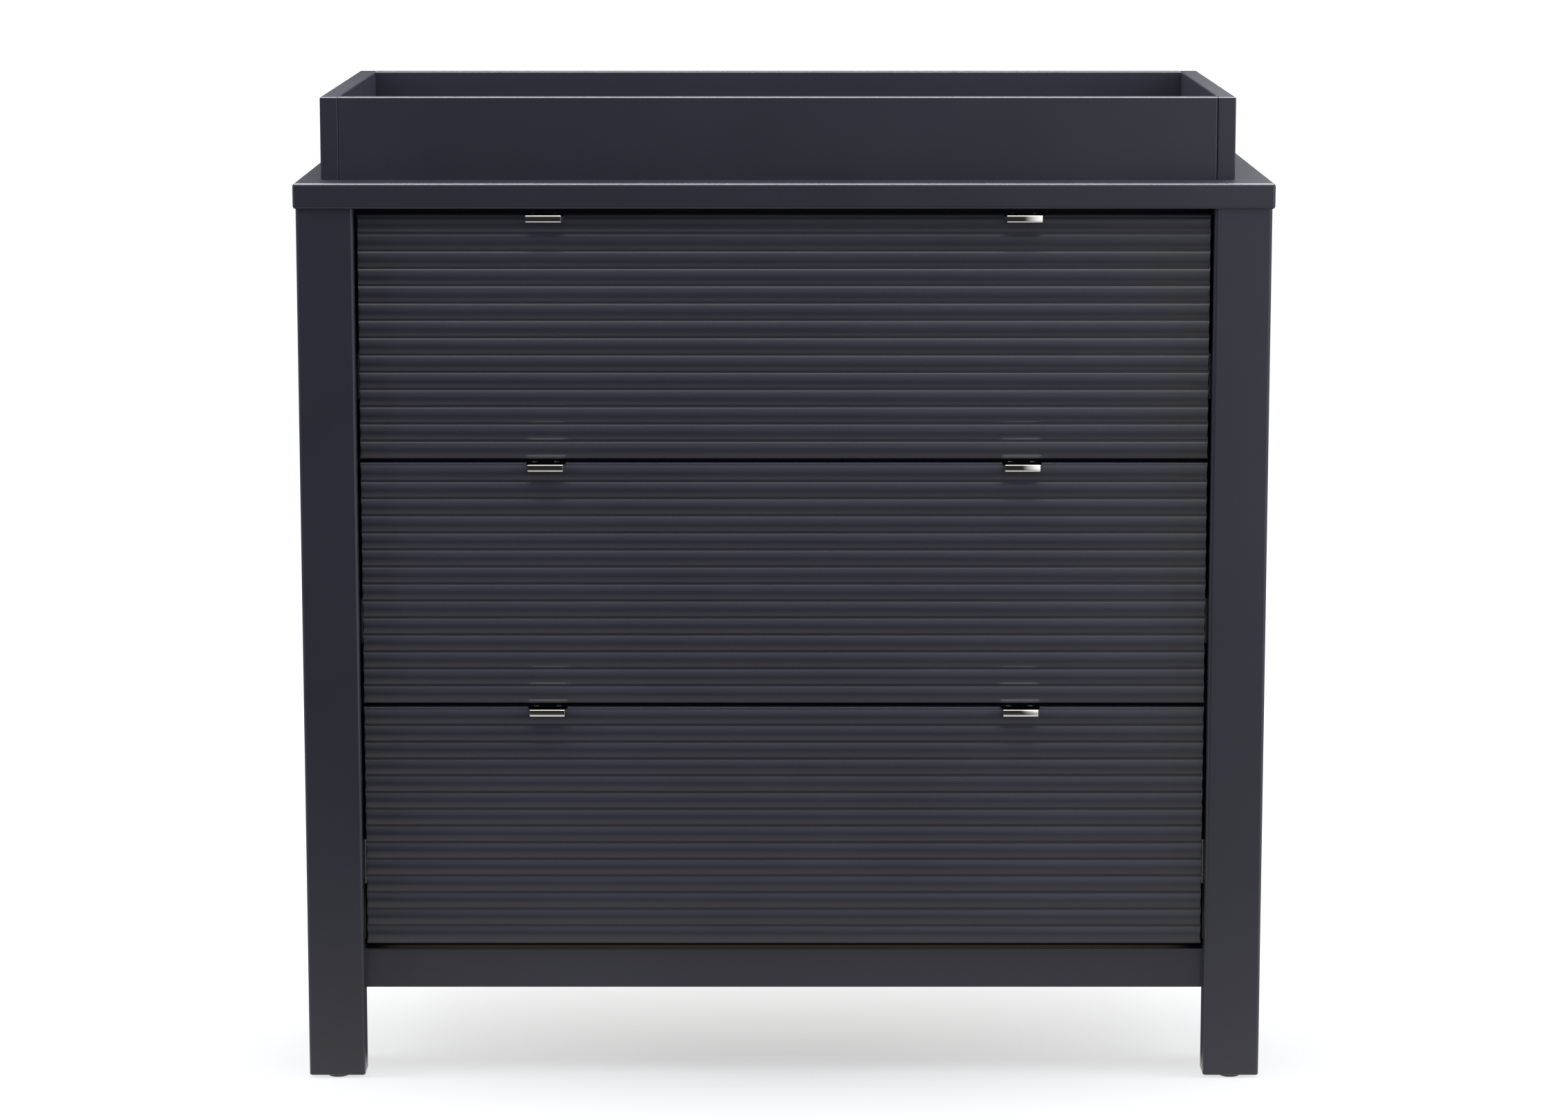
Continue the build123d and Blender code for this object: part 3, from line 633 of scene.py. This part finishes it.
def node_finish(node, slot):
    """The material of a node that keeps its own shape."""
    if node.endswith("_drawer_sides"):
        return finishes["pine_deep"]
    if node.endswith("_drawer_ends"):
        return finishes["pine_ends"]
    return finishes[NODE_FINISH.get(node, SLOT_FINISH[slot])]


# ---- ribbed drawer fronts ----
END_STEPS = 14
MIDDLE_STEPS = 6
EDGE_STEPS = 6
RIB_STEPS = 14
GROOVE_STEPS = 2


def rib_rows(row, sizes):
    """Height on the board and height of relief for each row of the grid, from the bottom edge up."""
    ribs = sizes["Rib Count"]
    steps = RIB_STEPS + GROOVE_STEPS
    rib_zone = ribs * steps - GROOVE_STEPS
    low, high = sizes["Bottom Margin"], sizes["Top Margin"]
    pitch = (sizes["Height"] - low - high + sizes["Groove Width"]) / ribs
    rib_width = pitch - sizes["Groove Width"]
    step = row - (1 + EDGE_STEPS)
    low_turn = (step * (-1.0 / EDGE_STEPS)).between(0.0, 1.0) * QUARTER_TURN
    high_turn = ((step - rib_zone) / EDGE_STEPS).between(0.0, 1.0) * QUARTER_TURN
    inside = step.math("MAXIMUM", 0.0).math("MINIMUM", rib_zone)
    rib = (inside / steps).math("FLOOR")
    within = inside - rib * steps
    along_rib = within.math("MINIMUM", RIB_STEPS) / RIB_STEPS
    along_groove = (within - RIB_STEPS).math("MAXIMUM", 0.0) / GROOVE_STEPS
    place = low + rib * pitch + rib_width * along_rib + sizes["Groove Width"] * along_groove
    place = place - low * low_turn.math("SINE") + high * high_turn.math("SINE")
    drop = low - low * low_turn.math("COSINE") + high - high * high_turn.math("COSINE")
    rise = rib_arc((along_rib - 0.5) * rib_width, rib_width, sizes["Rib Depth"])
    return place, sizes["Thickness"] - sizes["Rib Depth"] + rise - drop


def rib_arc(offset, width, depth):
    """How far a rib stands out at an offset from its crest: an arc over its width."""
    half = width / 2.0
    radius = (half * half + depth * depth) / (depth * 2.0)
    return (radius * radius - offset * offset).math("SQRT") - radius + depth


def end_columns(column, sizes):
    """Place across the board for each column, and the height of its rounded upright edges."""
    reach = column.math("ABSOLUTE")
    radius, soft = sizes["End Radius"], sizes["Softness"]
    flat = reach.math("MINIMUM", MIDDLE_STEPS) / MIDDLE_STEPS
    turn = ((reach - MIDDLE_STEPS) / END_STEPS).between(0.0, 1.0) * QUARTER_TURN
    distance = (sizes["Width"] / 2.0 - radius) * flat + radius * turn.math("SINE")
    height = sizes["Thickness"] - radius + (radius + soft) * turn.math("COSINE")
    return distance * column.math("SIGN"), height


def front_tree():
    """A drawer front as a height field: ribs across, rounded ends, a flat back and notches for pulls."""
    labels = (
        "Width", "Height", "Thickness", "Rib Depth", "Groove Width", "Top Margin", "Bottom Margin",
        "End Radius", "Softness", "Notch Spacing", "Notch Width", "Notch Height", "Notch Reach",
        "Back", "Bottom",
    )
    tree, sizes = geometry_tree("Ribbed front", labels, {"Rib Count": "Int"})
    half_columns = MIDDLE_STEPS + END_STEPS + 1
    last_row = sizes["Rib Count"] * (RIB_STEPS + GROOVE_STEPS) - GROOVE_STEPS + 2 * EDGE_STEPS + 2
    grid = grow(tree, "GeometryNodeMeshGrid", {
        "Size X": 2.0 * half_columns,
        "Size Y": last_row,
        "Vertices X": 2 * half_columns + 1,
        "Vertices Y": last_row + 1.0,
    })
    position = grow(tree, "GeometryNodeInputPosition")
    split = grow(tree, "ShaderNodeSeparateXYZ", {0: position}).socket.node
    column = Wire(tree, split.outputs["X"]).math("ROUND")
    row = (Wire(tree, split.outputs["Y"]) + last_row / 2.0).math("ROUND")
    up, rib_height = rib_rows(row, sizes)
    across, end_height = end_columns(column, sizes)
    height = rib_height.math("SMOOTH_MIN", end_height, sizes["Softness"])
    off_side = column.math("ABSOLUTE").math("LESS_THAN", half_columns - 0.5)
    off_bottom = row.math("GREATER_THAN", 0.5)
    off_top = row.math("LESS_THAN", last_row - 0.5)
    height = height * off_side * off_bottom * off_top
    surface = vector(tree, across, up, height)
    face = grow(tree, "GeometryNodeSetPosition", {"Geometry": grid, "Position": surface})
    neighbours = grow(tree, "GeometryNodeInputMeshEdgeNeighbors")
    rim = neighbours.math("COMPARE", 1.0, 0.1)
    outline = grow(tree, "GeometryNodeMeshToCurve", {"Mesh": face, "Selection": rim})
    filled = grow(tree, "GeometryNodeFillCurve", {0: outline}, mode="NGONS")
    back = grow(tree, "GeometryNodeFlipFaces", {0: filled})
    closed = {"Geometry": join(tree, face, back), "Distance": NEARLY}
    board = grow(tree, "GeometryNodeMergeByDistance", closed)
    cut = grow(tree, "GeometryNodeMeshBoolean", {"Mesh 1": board, "Mesh 2": notches(tree, sizes)},
               operation="DIFFERENCE")
    placed = grow(tree, "GeometryNodeTransform", {
        "Geometry": cut,
        "Translation": vector(tree, 0.0, sizes["Back"], sizes["Bottom"]),
        "Rotation": (QUARTER_TURN, 0.0, 0.0),
    })
    close_tree(tree, placed, sizes["Material"])
    return tree


def notches(tree, sizes):
    """Two boxes that cut the pulls' seats out of the board's upper edge."""
    overshoot = 2 * MM
    depth = sizes["Notch Height"] + overshoot
    reach = sizes["Notch Reach"] + overshoot
    block = grow(tree, "GeometryNodeMeshCube", {"Size": vector(tree, sizes["Notch Width"], depth, reach)})
    middle_up = sizes["Height"] - sizes["Notch Height"] + depth / 2.0
    middle_out = sizes["Thickness"] - sizes["Notch Reach"] + reach / 2.0
    start = vector(tree, sizes["Notch Spacing"] * -0.5, middle_up, middle_out)
    step = vector(tree, sizes["Notch Spacing"], 0.0, 0.0)
    line = grow(tree, "GeometryNodeMeshLine", {"Count": 2, "Start Location": start, "Offset": step})
    placed = grow(tree, "GeometryNodeInstanceOnPoints", {"Points": line, "Instance": block})
    return grow(tree, "GeometryNodeRealizeInstances", {0: placed})


class CHANGINGTABLE_OT_fronts(bpy.types.Operator):
    """Builds the three ribbed drawer fronts"""

    bl_idname = "changing_table.fronts"
    bl_label = "Ribbed drawer fronts"

    def execute(self, context):
        chosen = context.scene.table_front
        plate = context.scene.table_pull.plate_thickness
        shape = values_of(
            chosen, "Rib Count", "Rib Depth", "Groove Width", "Top Margin", "Bottom Margin", "End Radius",
            "Softness",
        )
        tree = front_tree()
        for drawer in DRAWER_NODES:
            node = drawer + "_front"
            low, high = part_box(node)
            pulls = boxes_in(drawer + "_pulls")
            left, right = pulls[0], pulls[-1]
            values = {
                **shape,
                "Width": high.x - low.x,
                "Height": high.z - low.z,
                "Thickness": high.y - low.y,
                "Notch Spacing": right[0].x - left[0].x,
                "Notch Width": left[1].x - left[0].x + 2 * chosen.notch_clearance,
                "Notch Height": plate,
                "Notch Reach": left[1].y - low.y + chosen.notch_clearance,
                "Back": high.y,
                "Bottom": low.z,
                "Material": finishes["front_paint"],
            }
            piece = grown_object(drawer + "_ribbed_front", tree, values)
            shade(piece, sharp_degrees=30.0)
            ride(piece, drawer, "painted_drawer_front", node)
        return {"FINISHED"}


# ---- pulls ----
def arc(centre, radius, start, end, steps=8):
    """Points on an arc in the (y, z) plane, angles in quarter turns from the back towards up."""
    points = []
    for step in range(steps + 1):
        angle = (start + (end - start) * step / steps) * QUARTER_TURN
        points.append((centre[0] + radius * math.cos(angle), centre[1] + radius * math.sin(angle)))
    return points


def pull_section(chosen, low, high):
    """The pull's outline from the side: plate, rounded lip and the bend between them."""
    front, back, bottom, top = low.y, high.y, low.z, high.z
    upper, lower, bend = chosen.upper_radius, chosen.lower_radius, chosen.bend_radius
    lip_back = front + chosen.lip_thickness
    plate_bottom = top - chosen.plate_thickness
    taper_back = lip_back + chosen.taper
    points = [(back, plate_bottom), (back, top), (taper_back, top), (lip_back, top)]
    points += arc((front + upper, top - upper), upper, 1, 2)
    points += arc((front + lower, bottom + lower), lower, 2, 3)
    points += [(lip_back, bottom)]
    points += arc((lip_back + bend, plate_bottom - bend), bend, 2, 1)
    points += [(taper_back, plate_bottom)]
    return points


def pull_mesh(name, chosen, low, high):
    """Sweeps the section across the pull; the plate narrows towards the lip."""
    middle = (low.x + high.x) / 2
    plate_half = (high.x - low.x) / 2
    lip_half = chosen.lip_width / 2
    lip_back = low.y + chosen.lip_thickness

    def half_width(y):
        along = min(max((y - lip_back) / chosen.taper, 0.0), 1.0)
        return lip_half + (plate_half - lip_half) * along

    shape = bmesh.new()
    rows = []
    for side in (-1, 1):
        section = pull_section(chosen, low, high)
        rows.append([shape.verts.new((middle + side * half_width(y), y, z)) for y, z in section])
    left, right = rows
    total = len(left)
    for place in range(total):
        after = (place + 1) % total
        shape.faces.new((left[place], left[after], right[after], right[place]))
    shape.faces.new(left)
    shape.faces.new(list(reversed(right)))
    bmesh.ops.recalc_face_normals(shape, faces=shape.faces)
    return kept_mesh(name, shape)


def joined_mesh(name, meshes):
    """Several meshes as one."""
    shape = bmesh.new()
    for mesh in meshes:
        shape.from_mesh(mesh)
    return kept_mesh(name, shape)


def screw_sinks(name, screws, clearance):
    """Cylinders that cut the seats of screw heads."""
    shape = bmesh.new()
    for seat, way, head, _ in screws:
        turn = way.to_track_quat("Z", "Y").to_matrix().to_4x4()
        depth = 2 * head[2]
        place = Matrix.Translation(seat + way * depth / 2) @ turn
        radius = head[0] + clearance
        bmesh.ops.create_cone(shape, cap_ends=True, segments=32, radius1=radius, radius2=radius,
                              depth=depth, matrix=place)
    return new_object(name, kept_mesh(name, shape))


class CHANGINGTABLE_OT_pulls(bpy.types.Operator):
    """Builds the six polished edge pulls"""

    bl_idname = "changing_table.pulls"
    bl_label = "Edge pulls"

    def execute(self, context):
        chosen = context.scene.table_pull
        for drawer in DRAWER_NODES:
            node = drawer + "_pulls"
            boxes = boxes_in(node)
            meshes = [pull_mesh(drawer, chosen, low, high) for low, high in boxes]
            piece = new_object(drawer + "_edge_pulls", joined_mesh(node, meshes))
            top = boxes[0][1].z
            screws = screws_in(drawer + "_screws")
            upright = [facts for facts in screws if facts[1].z > 0.5 and abs(facts[0].z - top) < 2 * MM]
            cutter = screw_sinks(drawer + "_sinks", upright, 0.1 * MM)
            sink = piece.modifiers.new("Screw seats", "BOOLEAN")
            sink.operation = "DIFFERENCE"
            sink.object = cutter
            edge = piece.modifiers.new("Edges", "BEVEL")
            edge.width = chosen.edge
            edge.segments = 3
            edge.limit_method = "ANGLE"
            edge.angle_limit = math.radians(40.0)
            finished_object(piece)
            bpy.data.objects.remove(cutter)
            piece.data.materials.append(finishes["nickel"])
            shade(piece, sharp_degrees=45.0)
            ride(piece, drawer, "polished_metal", node)
        return {"FINISHED"}


# ---- screws ----
def screw_tree():
    """A screw on every point: a crowned head with a cross recess, and a shank."""
    labels = ("Crown", "Recess Length", "Recess Width", "Recess Depth")
    tree, sizes = geometry_tree("Screws", labels, {"Seed": "Int"})
    head = grow(tree, "GeometryNodeMeshCone", {
        "Vertices": 20, "Radius Top": sizes["Crown"], "Radius Bottom": 1.0, "Depth": 1.0,
    })
    reach = sizes["Recess Length"] * 2.0
    width = sizes["Recess Width"] * 2.0
    depth = sizes["Recess Depth"] * 2.0
    arms = []
    for arm_size in (vector(tree, reach, width, depth), vector(tree, width, reach, depth)):
        arm = grow(tree, "GeometryNodeMeshCube", {"Size": arm_size})
        arms.append(grow(tree, "GeometryNodeTransform", {"Geometry": arm, "Translation": (0.0, 0.0, 1.0)}))
    cut = grow(tree, "GeometryNodeMeshBoolean", {"Mesh 1": head}, operation="DIFFERENCE").socket.node
    for arm in arms:
        feed(cut.inputs["Mesh 2"], arm)
    shank = grow(tree, "GeometryNodeMeshCone", {
        "Vertices": 12, "Radius Top": 1.0, "Radius Bottom": 0.8, "Depth": 1.0,
    })
    low_shank = grow(tree, "GeometryNodeTransform", {"Geometry": shank, "Translation": (0.0, 0.0, -1.0)})
    way = named_vector(tree, "way")
    facing = grow(tree, "FunctionNodeAlignRotationToVector", {"Vector": way}, axis="Z")
    angle = grow(tree, "FunctionNodeRandomValue", {3: math.pi, "Seed": sizes["Seed"]}, output=1)
    spin = grow(tree, "FunctionNodeAxisAngleToRotation", {"Axis": (0.0, 0.0, 1.0), "Angle": angle})
    turned = grow(tree, "FunctionNodeRotateRotation", {0: facing, 1: spin}, rotation_space="LOCAL")
    points = sizes["Geometry"]
    placed = []
    for shape, label in ((Wire(tree, cut.outputs[0]), "head"), (low_shank, "shank")):
        inputs = {"Points": points, "Instance": shape, "Rotation": turned, "Scale": named_vector(tree, label)}
        placed.append(grow(tree, "GeometryNodeInstanceOnPoints", inputs))
    close_tree(tree, join(tree, *placed), sizes["Material"])
    return tree


def named_vector(tree, label):
    """A vector that the points carry."""
    return grow(tree, "GeometryNodeInputNamedAttribute", {"Name": label}, data_type="FLOAT_VECTOR")


def point_mesh(name, points, **vectors):
    """A mesh of loose points that carry named vectors."""
    mesh = bpy.data.meshes.new(name)
    mesh.from_pydata([tuple(point) for point in points], [], [])
    for label, values in vectors.items():
        attribute = mesh.attributes.new(label, "FLOAT_VECTOR", "POINT")
        attribute.data.foreach_set("vector", [part for value in values for part in value])
    return mesh


SCREW_NODES = {
    **dict.fromkeys(("back_panel_screws", "tray_plate_screws", "outer_slide_screws"), "carcass"),
    **{drawer + "_screws": drawer for drawer in DRAWER_NODES},
}


class CHANGINGTABLE_OT_screws(bpy.types.Operator):
    """Puts a cross-headed screw where the frame has one"""

    bl_idname = "changing_table.screws"
    bl_label = "Screws"

    def execute(self, context):
        chosen = context.scene.table_screw
        tree = screw_tree()
        values = values_of(chosen, "Crown", "Recess Length", "Recess Width", "Recess Depth", "Seed")
        values["Material"] = finishes["screw_zinc"]
        for node, body in SCREW_NODES.items():
            seats, ways, heads, shanks = zip(*screws_in(node))
            base = point_mesh(node + "_places", seats, way=ways, head=heads, shank=shanks)
            piece = grown_object(node.replace("screws", "cross_head_screws"), tree, values, base)
            shade(piece, sharp_degrees=35.0)
            ride(piece, body, "zinc_steel", node)
        return {"FINISHED"}


# ---- slides ----
def ball_tree():
    """A row of balls and the strip that keeps them apart, along every point's own line."""
    labels = ("Ball Diameter", "Pitch", "Strip Width", "Strip Thickness")
    tree, sizes = geometry_tree("Ball rows", labels, {"Balls": "Int", "Strip Material": "Material"})
    span = sizes["Pitch"] * (sizes["Balls"] - 1.0)
    start = vector(tree, 0.0, span * -0.5, 0.0)
    step = vector(tree, 0.0, sizes["Pitch"], 0.0)
    places = {"Count": sizes["Balls"], "Start Location": start, "Offset": step}
    line = grow(tree, "GeometryNodeMeshLine", places)
    radius = sizes["Ball Diameter"] / 2.0
    ball = grow(tree, "GeometryNodeMeshIcoSphere", {"Radius": radius, "Subdivisions": 2})
    balls = grow(tree, "GeometryNodeInstanceOnPoints", {"Points": line, "Instance": ball})
    shiny = grow(tree, "GeometryNodeSetMaterial", {
        "Geometry": grow(tree, "GeometryNodeRealizeInstances", {0: balls}),
        "Material": sizes["Material"],
    })
    strip_size = vector(tree, sizes["Strip Width"], span + sizes["Pitch"], sizes["Strip Thickness"])
    strip = grow(tree, "GeometryNodeMeshCube", {"Size": strip_size})
    plated = grow(tree, "GeometryNodeSetMaterial", {"Geometry": strip, "Material": sizes["Strip Material"]})
    row = join(tree, shiny, plated)
    placed = grow(tree, "GeometryNodeInstanceOnPoints", {"Points": sizes["Geometry"], "Instance": row})
    close_tree(tree, placed)
    return tree


def ball_row_places(name, metal, row_length):
    """Middles of the ball rows of one drawer: between outer and middle members, then inside the middle."""
    outer_boxes = boxes_in("outer_slide_members")
    inner_boxes = boxes_in(name + "_drawer_slide_members")
    places = []
    for own in boxes_in(name + "_middle_slide_members"):
        low, high = own
        middle = (low + high) / 2
        outer = nearest_box(outer_boxes, middle)
        inner = nearest_box(inner_boxes, middle)
        rear_y = high.y - row_length / 2
        front_y = low.y + row_length / 2
        for end, way in ((0, -1), (1, 1)):
            outer_face = outer[end].z - way * metal
            inner_face = own[end].z - way * metal
            places.append((overlap_middle(own, outer), rear_y, (own[end].z + outer_face) / 2))
            places.append((overlap_middle(own, inner), front_y, (inner[end].z + inner_face) / 2))
    return places


def nearest_box(boxes, place):
    """The box whose middle is nearest to a place, seen from the front."""
    def distance(box):
        offset = (box[0] + box[1]) / 2 - place
        return math.hypot(offset.x, offset.z)

    return min(boxes, key=distance)


def overlap_middle(first, second):
    """Middle, across the table, of what two boxes share."""
    return (max(first[0].x, second[0].x) + min(first[1].x, second[1].x)) / 2


class CHANGINGTABLE_OT_slides(bpy.types.Operator):
    """Fills the drawer slides with balls and their cages"""

    bl_idname = "changing_table.slides"
    bl_label = "Slide balls and cages"

    def execute(self, context):
        chosen = context.scene.table_slide
        tree = ball_tree()
        values = {
            "Balls": chosen.balls,
            "Ball Diameter": chosen.ball,
            "Pitch": chosen.pitch,
            "Strip Width": chosen.cage_width,
            "Strip Thickness": chosen.cage_thickness,
            "Strip Material": finishes["zinc"],
            "Material": finishes["ball_steel"],
        }
        for name in DRAWERS:
            places = ball_row_places(name, chosen.metal, chosen.pitch * chosen.balls)
            base = point_mesh(name + "_rows", places)
            piece = grown_object(name + "_slide_balls_and_cages", tree, values, base)
            shade(piece, sharp_degrees=40.0)
            ride(piece, name + "_slide_middle", "zinc_steel")
        return {"FINISHED"}


# ---- finishes on the frame's own nodes ----
class CHANGINGTABLE_OT_finishes(bpy.types.Operator):
    """Makes every material and gives it to the nodes that keep their shape"""

    bl_idname = "changing_table.finishes"
    bl_label = "Finishes"

    def execute(self, context):
        make_finishes(context.scene.table_finish)
        for name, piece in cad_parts.items():
            for slot in piece.material_slots:
                slot.material = node_finish(name, slot.material.name)
        return {"FINISHED"}


# ---- studio ----
def flat_sheet(half, place):
    """A flat square from -half to half, put in its place."""
    shape = bmesh.new()
    bmesh.ops.create_grid(shape, x_segments=1, y_segments=1, size=half, matrix=place)
    return shape


def studio_floor(chosen):
    """A wide pale floor that glows by itself, which keeps the shadow under the table light; its glow is
    weaker in an oval under the table's front, a painted shadow.
    """
    floor = new_object("studio_floor", kept_mesh("studio_floor", flat_sheet(60.0, Matrix())))
    material, shader, place = new_finish("pale_floor")
    cool = scaled((0.95, 1.0, 1.05), chosen.floor_white)
    tone = spread(noise(place, scale=3.0), 0.0, 1.0)
    dress(shader, {
        "Base Color": blend_colours(tone, scaled(cool, 0.99), cool),
        "Roughness": 1.0,
        "Specular IOR Level": 0.0,
        "Emission Color": (1.0, 1.0, 1.0, 1.0),
    })
    # Painted shadow: the floor's glow drops in an oval under the table's front, longer across than deep, and
    # rises to full glow farther out.
    painted_shadow_scale = (1.6, 4.0, 1.0)
    painted_shadow_shift = (0.0, 0.75, 0.0)
    painted_shadow_place = grow(place.tree, "ShaderNodeMapping", {
        "Vector": place, "Location": painted_shadow_shift, "Scale": painted_shadow_scale,
    })
    away = grow(place.tree, "ShaderNodeVectorMath", {0: painted_shadow_place}, output="Value", operation="LENGTH")
    glow = spread(away, chosen.painted_shadow_glow, 1.0, start=0.15, end=1.9)
    feed(shader.inputs["Emission Strength"], glow)
    floor.data.materials.append(material)
    floor.visible_diffuse = False


def for_gloss_only(name, shape, tint, brightness):
    """Turns a shape into a glowing panel that only reflections show; brightness is made from its place."""
    panel = new_object(name, kept_mesh(name, shape))
    material, tree = blank_material(name)
    place = grow(tree, "ShaderNodeTexCoord", output="Object")
    split = grow(tree, "ShaderNodeSeparateXYZ", {0: place}).socket.node
    strength = brightness(*(Wire(tree, part) for part in split.outputs))
    glow = grow(tree, "ShaderNodeEmission", {"Color": (*tint, 1.0), "Strength": strength})
    grow(tree, "ShaderNodeOutputMaterial", {"Surface": glow})
    panel.data.materials.append(material)
    for kind in ("camera", "diffuse", "transmission", "volume_scatter", "shadow"):
        setattr(panel, "visible_" + kind, False)


def dark_flags():
    """A dim wall round the table: dark low down, and brighter above and to the front right."""
    radius = 3.2
    height = 9.0
    shape = bmesh.new()
    bmesh.ops.create_cone(shape, cap_ends=False, segments=48, radius1=radius, radius2=radius,
                          depth=height, matrix=Matrix.Translation((0.0, 0.0, height / 2)))

    def brightness(x, y, z):
        above = spread(z, 0.02, 0.3, start=0.7, end=1.8) * spread(y, 1.0, 0.4, start=-0.5, end=0.5)
        right = spread(x, 0.0, 1.3, start=0.4, end=1.1) * spread(y, 1.0, 0.25, start=-1.8, end=-1.0)
        return above + right

    for_gloss_only("dark_flags", shape, (1.0, 1.0, 1.0), brightness)


def front_reflector():
    """The floor as the gloss sees it: bright close to the table, dark a few steps in front of it."""
    half_width, lift = 3.2, 0.5 * MM
    shape = flat_sheet(half_width, Matrix.Translation((0.0, 0.0, lift)))
    front = cad_low.y

    def brightness(x, y, z):
        near = spread(y, 0.0, 1.0, start=front - 1.6, end=front).math("POWER", 1.4) * 1.1
        side = spread(x, 0.03, 1.0, start=0.4, end=1.1)
        # Painted shade: the reflected floor dims to almost nothing under the table.
        painted_shade_under_table = spread(y, 1.0, 0.05, start=front + 0.02, end=front + 0.1)
        return (near + side) * painted_shade_under_table

    for_gloss_only("front_reflector", shape, (1.0, 0.94, 0.93), brightness)


def top_reflector():
    """A bright strip above and behind, which draws a fine white line along the table's upper edges."""
    middle = (0.0, 0.6, 2.9)
    width, depth, strength = 3.6, 1.6, 22.0
    place = Matrix.Translation(middle) @ Matrix.Diagonal((width, depth, 1.0, 1.0))
    for_gloss_only("top_reflector", flat_sheet(0.5, place), (1.0, 1.0, 1.0), lambda x, y, z: strength)


def softbox(name, watts, place, aim, width, depth, glossy=False):
    """An area light that faces a point; glossy says whether reflections show it."""
    light = bpy.data.lights.new(name, "AREA")
    light.shape = "RECTANGLE"
    light.size = width
    light.size_y = depth
    light.energy = watts
    lamp = new_object(name, light)
    lamp.location = place
    lamp.rotation_euler = (Vector(aim) - Vector(place)).to_track_quat("-Z", "Y").to_euler()
    lamp.visible_camera = False
    lamp.visible_glossy = glossy


def white_world():
    """White above the horizon and dim below it, so that little light comes up from the floor."""
    world = bpy.data.worlds.new("white_world")
    bpy.context.scene.world = world
    world.use_nodes = True
    tree = world.node_tree
    background = tree.nodes["Background"]
    feed(background.inputs["Color"], (1.0, 1.0, 1.0, 1.0))
    direction = grow(tree, "ShaderNodeTexCoord", output="Generated")
    up = grow(tree, "ShaderNodeSeparateXYZ", {0: direction}, output="Z")
    feed(background.inputs["Strength"], spread(up, 0.3, 1.0, start=-0.06, end=-0.01))


class CHANGINGTABLE_OT_stage(bpy.types.Operator):
    """Sets the camera, the pale floor and soft lights"""

    bl_idname = "changing_table.stage"
    bl_label = "Studio"

    def execute(self, context):
        chosen = context.scene.table_stage
        centre = (cad_low + cad_high) / 2
        camera = new_object("camera", bpy.data.cameras.new("camera"))
        camera.data.lens = chosen.lens
        camera.location = (centre.x, -chosen.camera_distance, chosen.camera_height)
        camera.rotation_euler = (QUARTER_TURN - chosen.camera_tilt, 0.0, 0.0)
        context.scene.camera = camera
        studio_floor(chosen)
        dark_flags()
        front_reflector()
        top_reflector()
        white_world()
        softbox("overhead", chosen.overhead, place=(0.0, -0.15, 3.0), aim=(0.0, -0.15, 0.0), width=3.4,
                depth=3.0, glossy=True)
        softbox("back_light", chosen.back_light, place=(0.0, 1.9, 2.5), aim=(0.0, 0.2, 0.3), width=2.4,
                depth=1.0)
        for name, side in (("left_light", -1), ("right_light", 1)):
            softbox(name, chosen.side_light, place=(side * 2.6, -0.5, 1.3), aim=(0.0, -0.2, 1.0), width=1.0,
                    depth=2.2)
        context.scene.view_settings.view_transform = "Standard"
        return {"FINISHED"}


# ---- sidebar ----
class CHANGINGTABLE_PT_panel(bpy.types.Panel):
    """Lists every step in the order in which it runs"""

    bl_label = "Changing table"
    bl_idname = "CHANGINGTABLE_PT_panel"
    bl_space_type = "VIEW_3D"
    bl_region_type = "UI"
    bl_category = "Changing Table"

    def draw(self, context):
        for operator in OPERATORS:
            self.layout.operator(operator.bl_idname)
        for name in SETTINGS:
            group = getattr(context.scene, name)
            box = self.layout.box()
            for key in group.bl_rna.properties.keys():
                if key not in ("rna_type", "name"):
                    box.prop(group, key)


OPERATORS = (
    CHANGINGTABLE_OT_finishes,
    CHANGINGTABLE_OT_fronts,
    CHANGINGTABLE_OT_pulls,
    CHANGINGTABLE_OT_screws,
    CHANGINGTABLE_OT_slides,
    CHANGINGTABLE_OT_stage,
)
SETTINGS = {
    "table_finish": FinishSettings,
    "table_front": FrontSettings,
    "table_pull": PullSettings,
    "table_slide": SlideSettings,
    "table_screw": ScrewSettings,
    "table_stage": StageSettings,
}


def register():
    """Makes the settings, the operators and the panel known."""
    for kind in (*SETTINGS.values(), *OPERATORS, CHANGINGTABLE_PT_panel):
        bpy.utils.register_class(kind)
    for name, kind in SETTINGS.items():
        setattr(bpy.types.Scene, name, bpy.props.PointerProperty(type=kind))


def unregister():
    """Takes them away again."""
    for name in SETTINGS:
        delattr(bpy.types.Scene, name)
    for kind in (CHANGINGTABLE_PT_panel, *OPERATORS, *SETTINGS.values()):
        bpy.utils.unregister_class(kind)


def main():
    """Builds everything."""
    register()
    for operator in OPERATORS:
        group, name = operator.bl_idname.split(".")
        getattr(getattr(bpy.ops, group), name)()


if __name__ == "__main__":
    main()
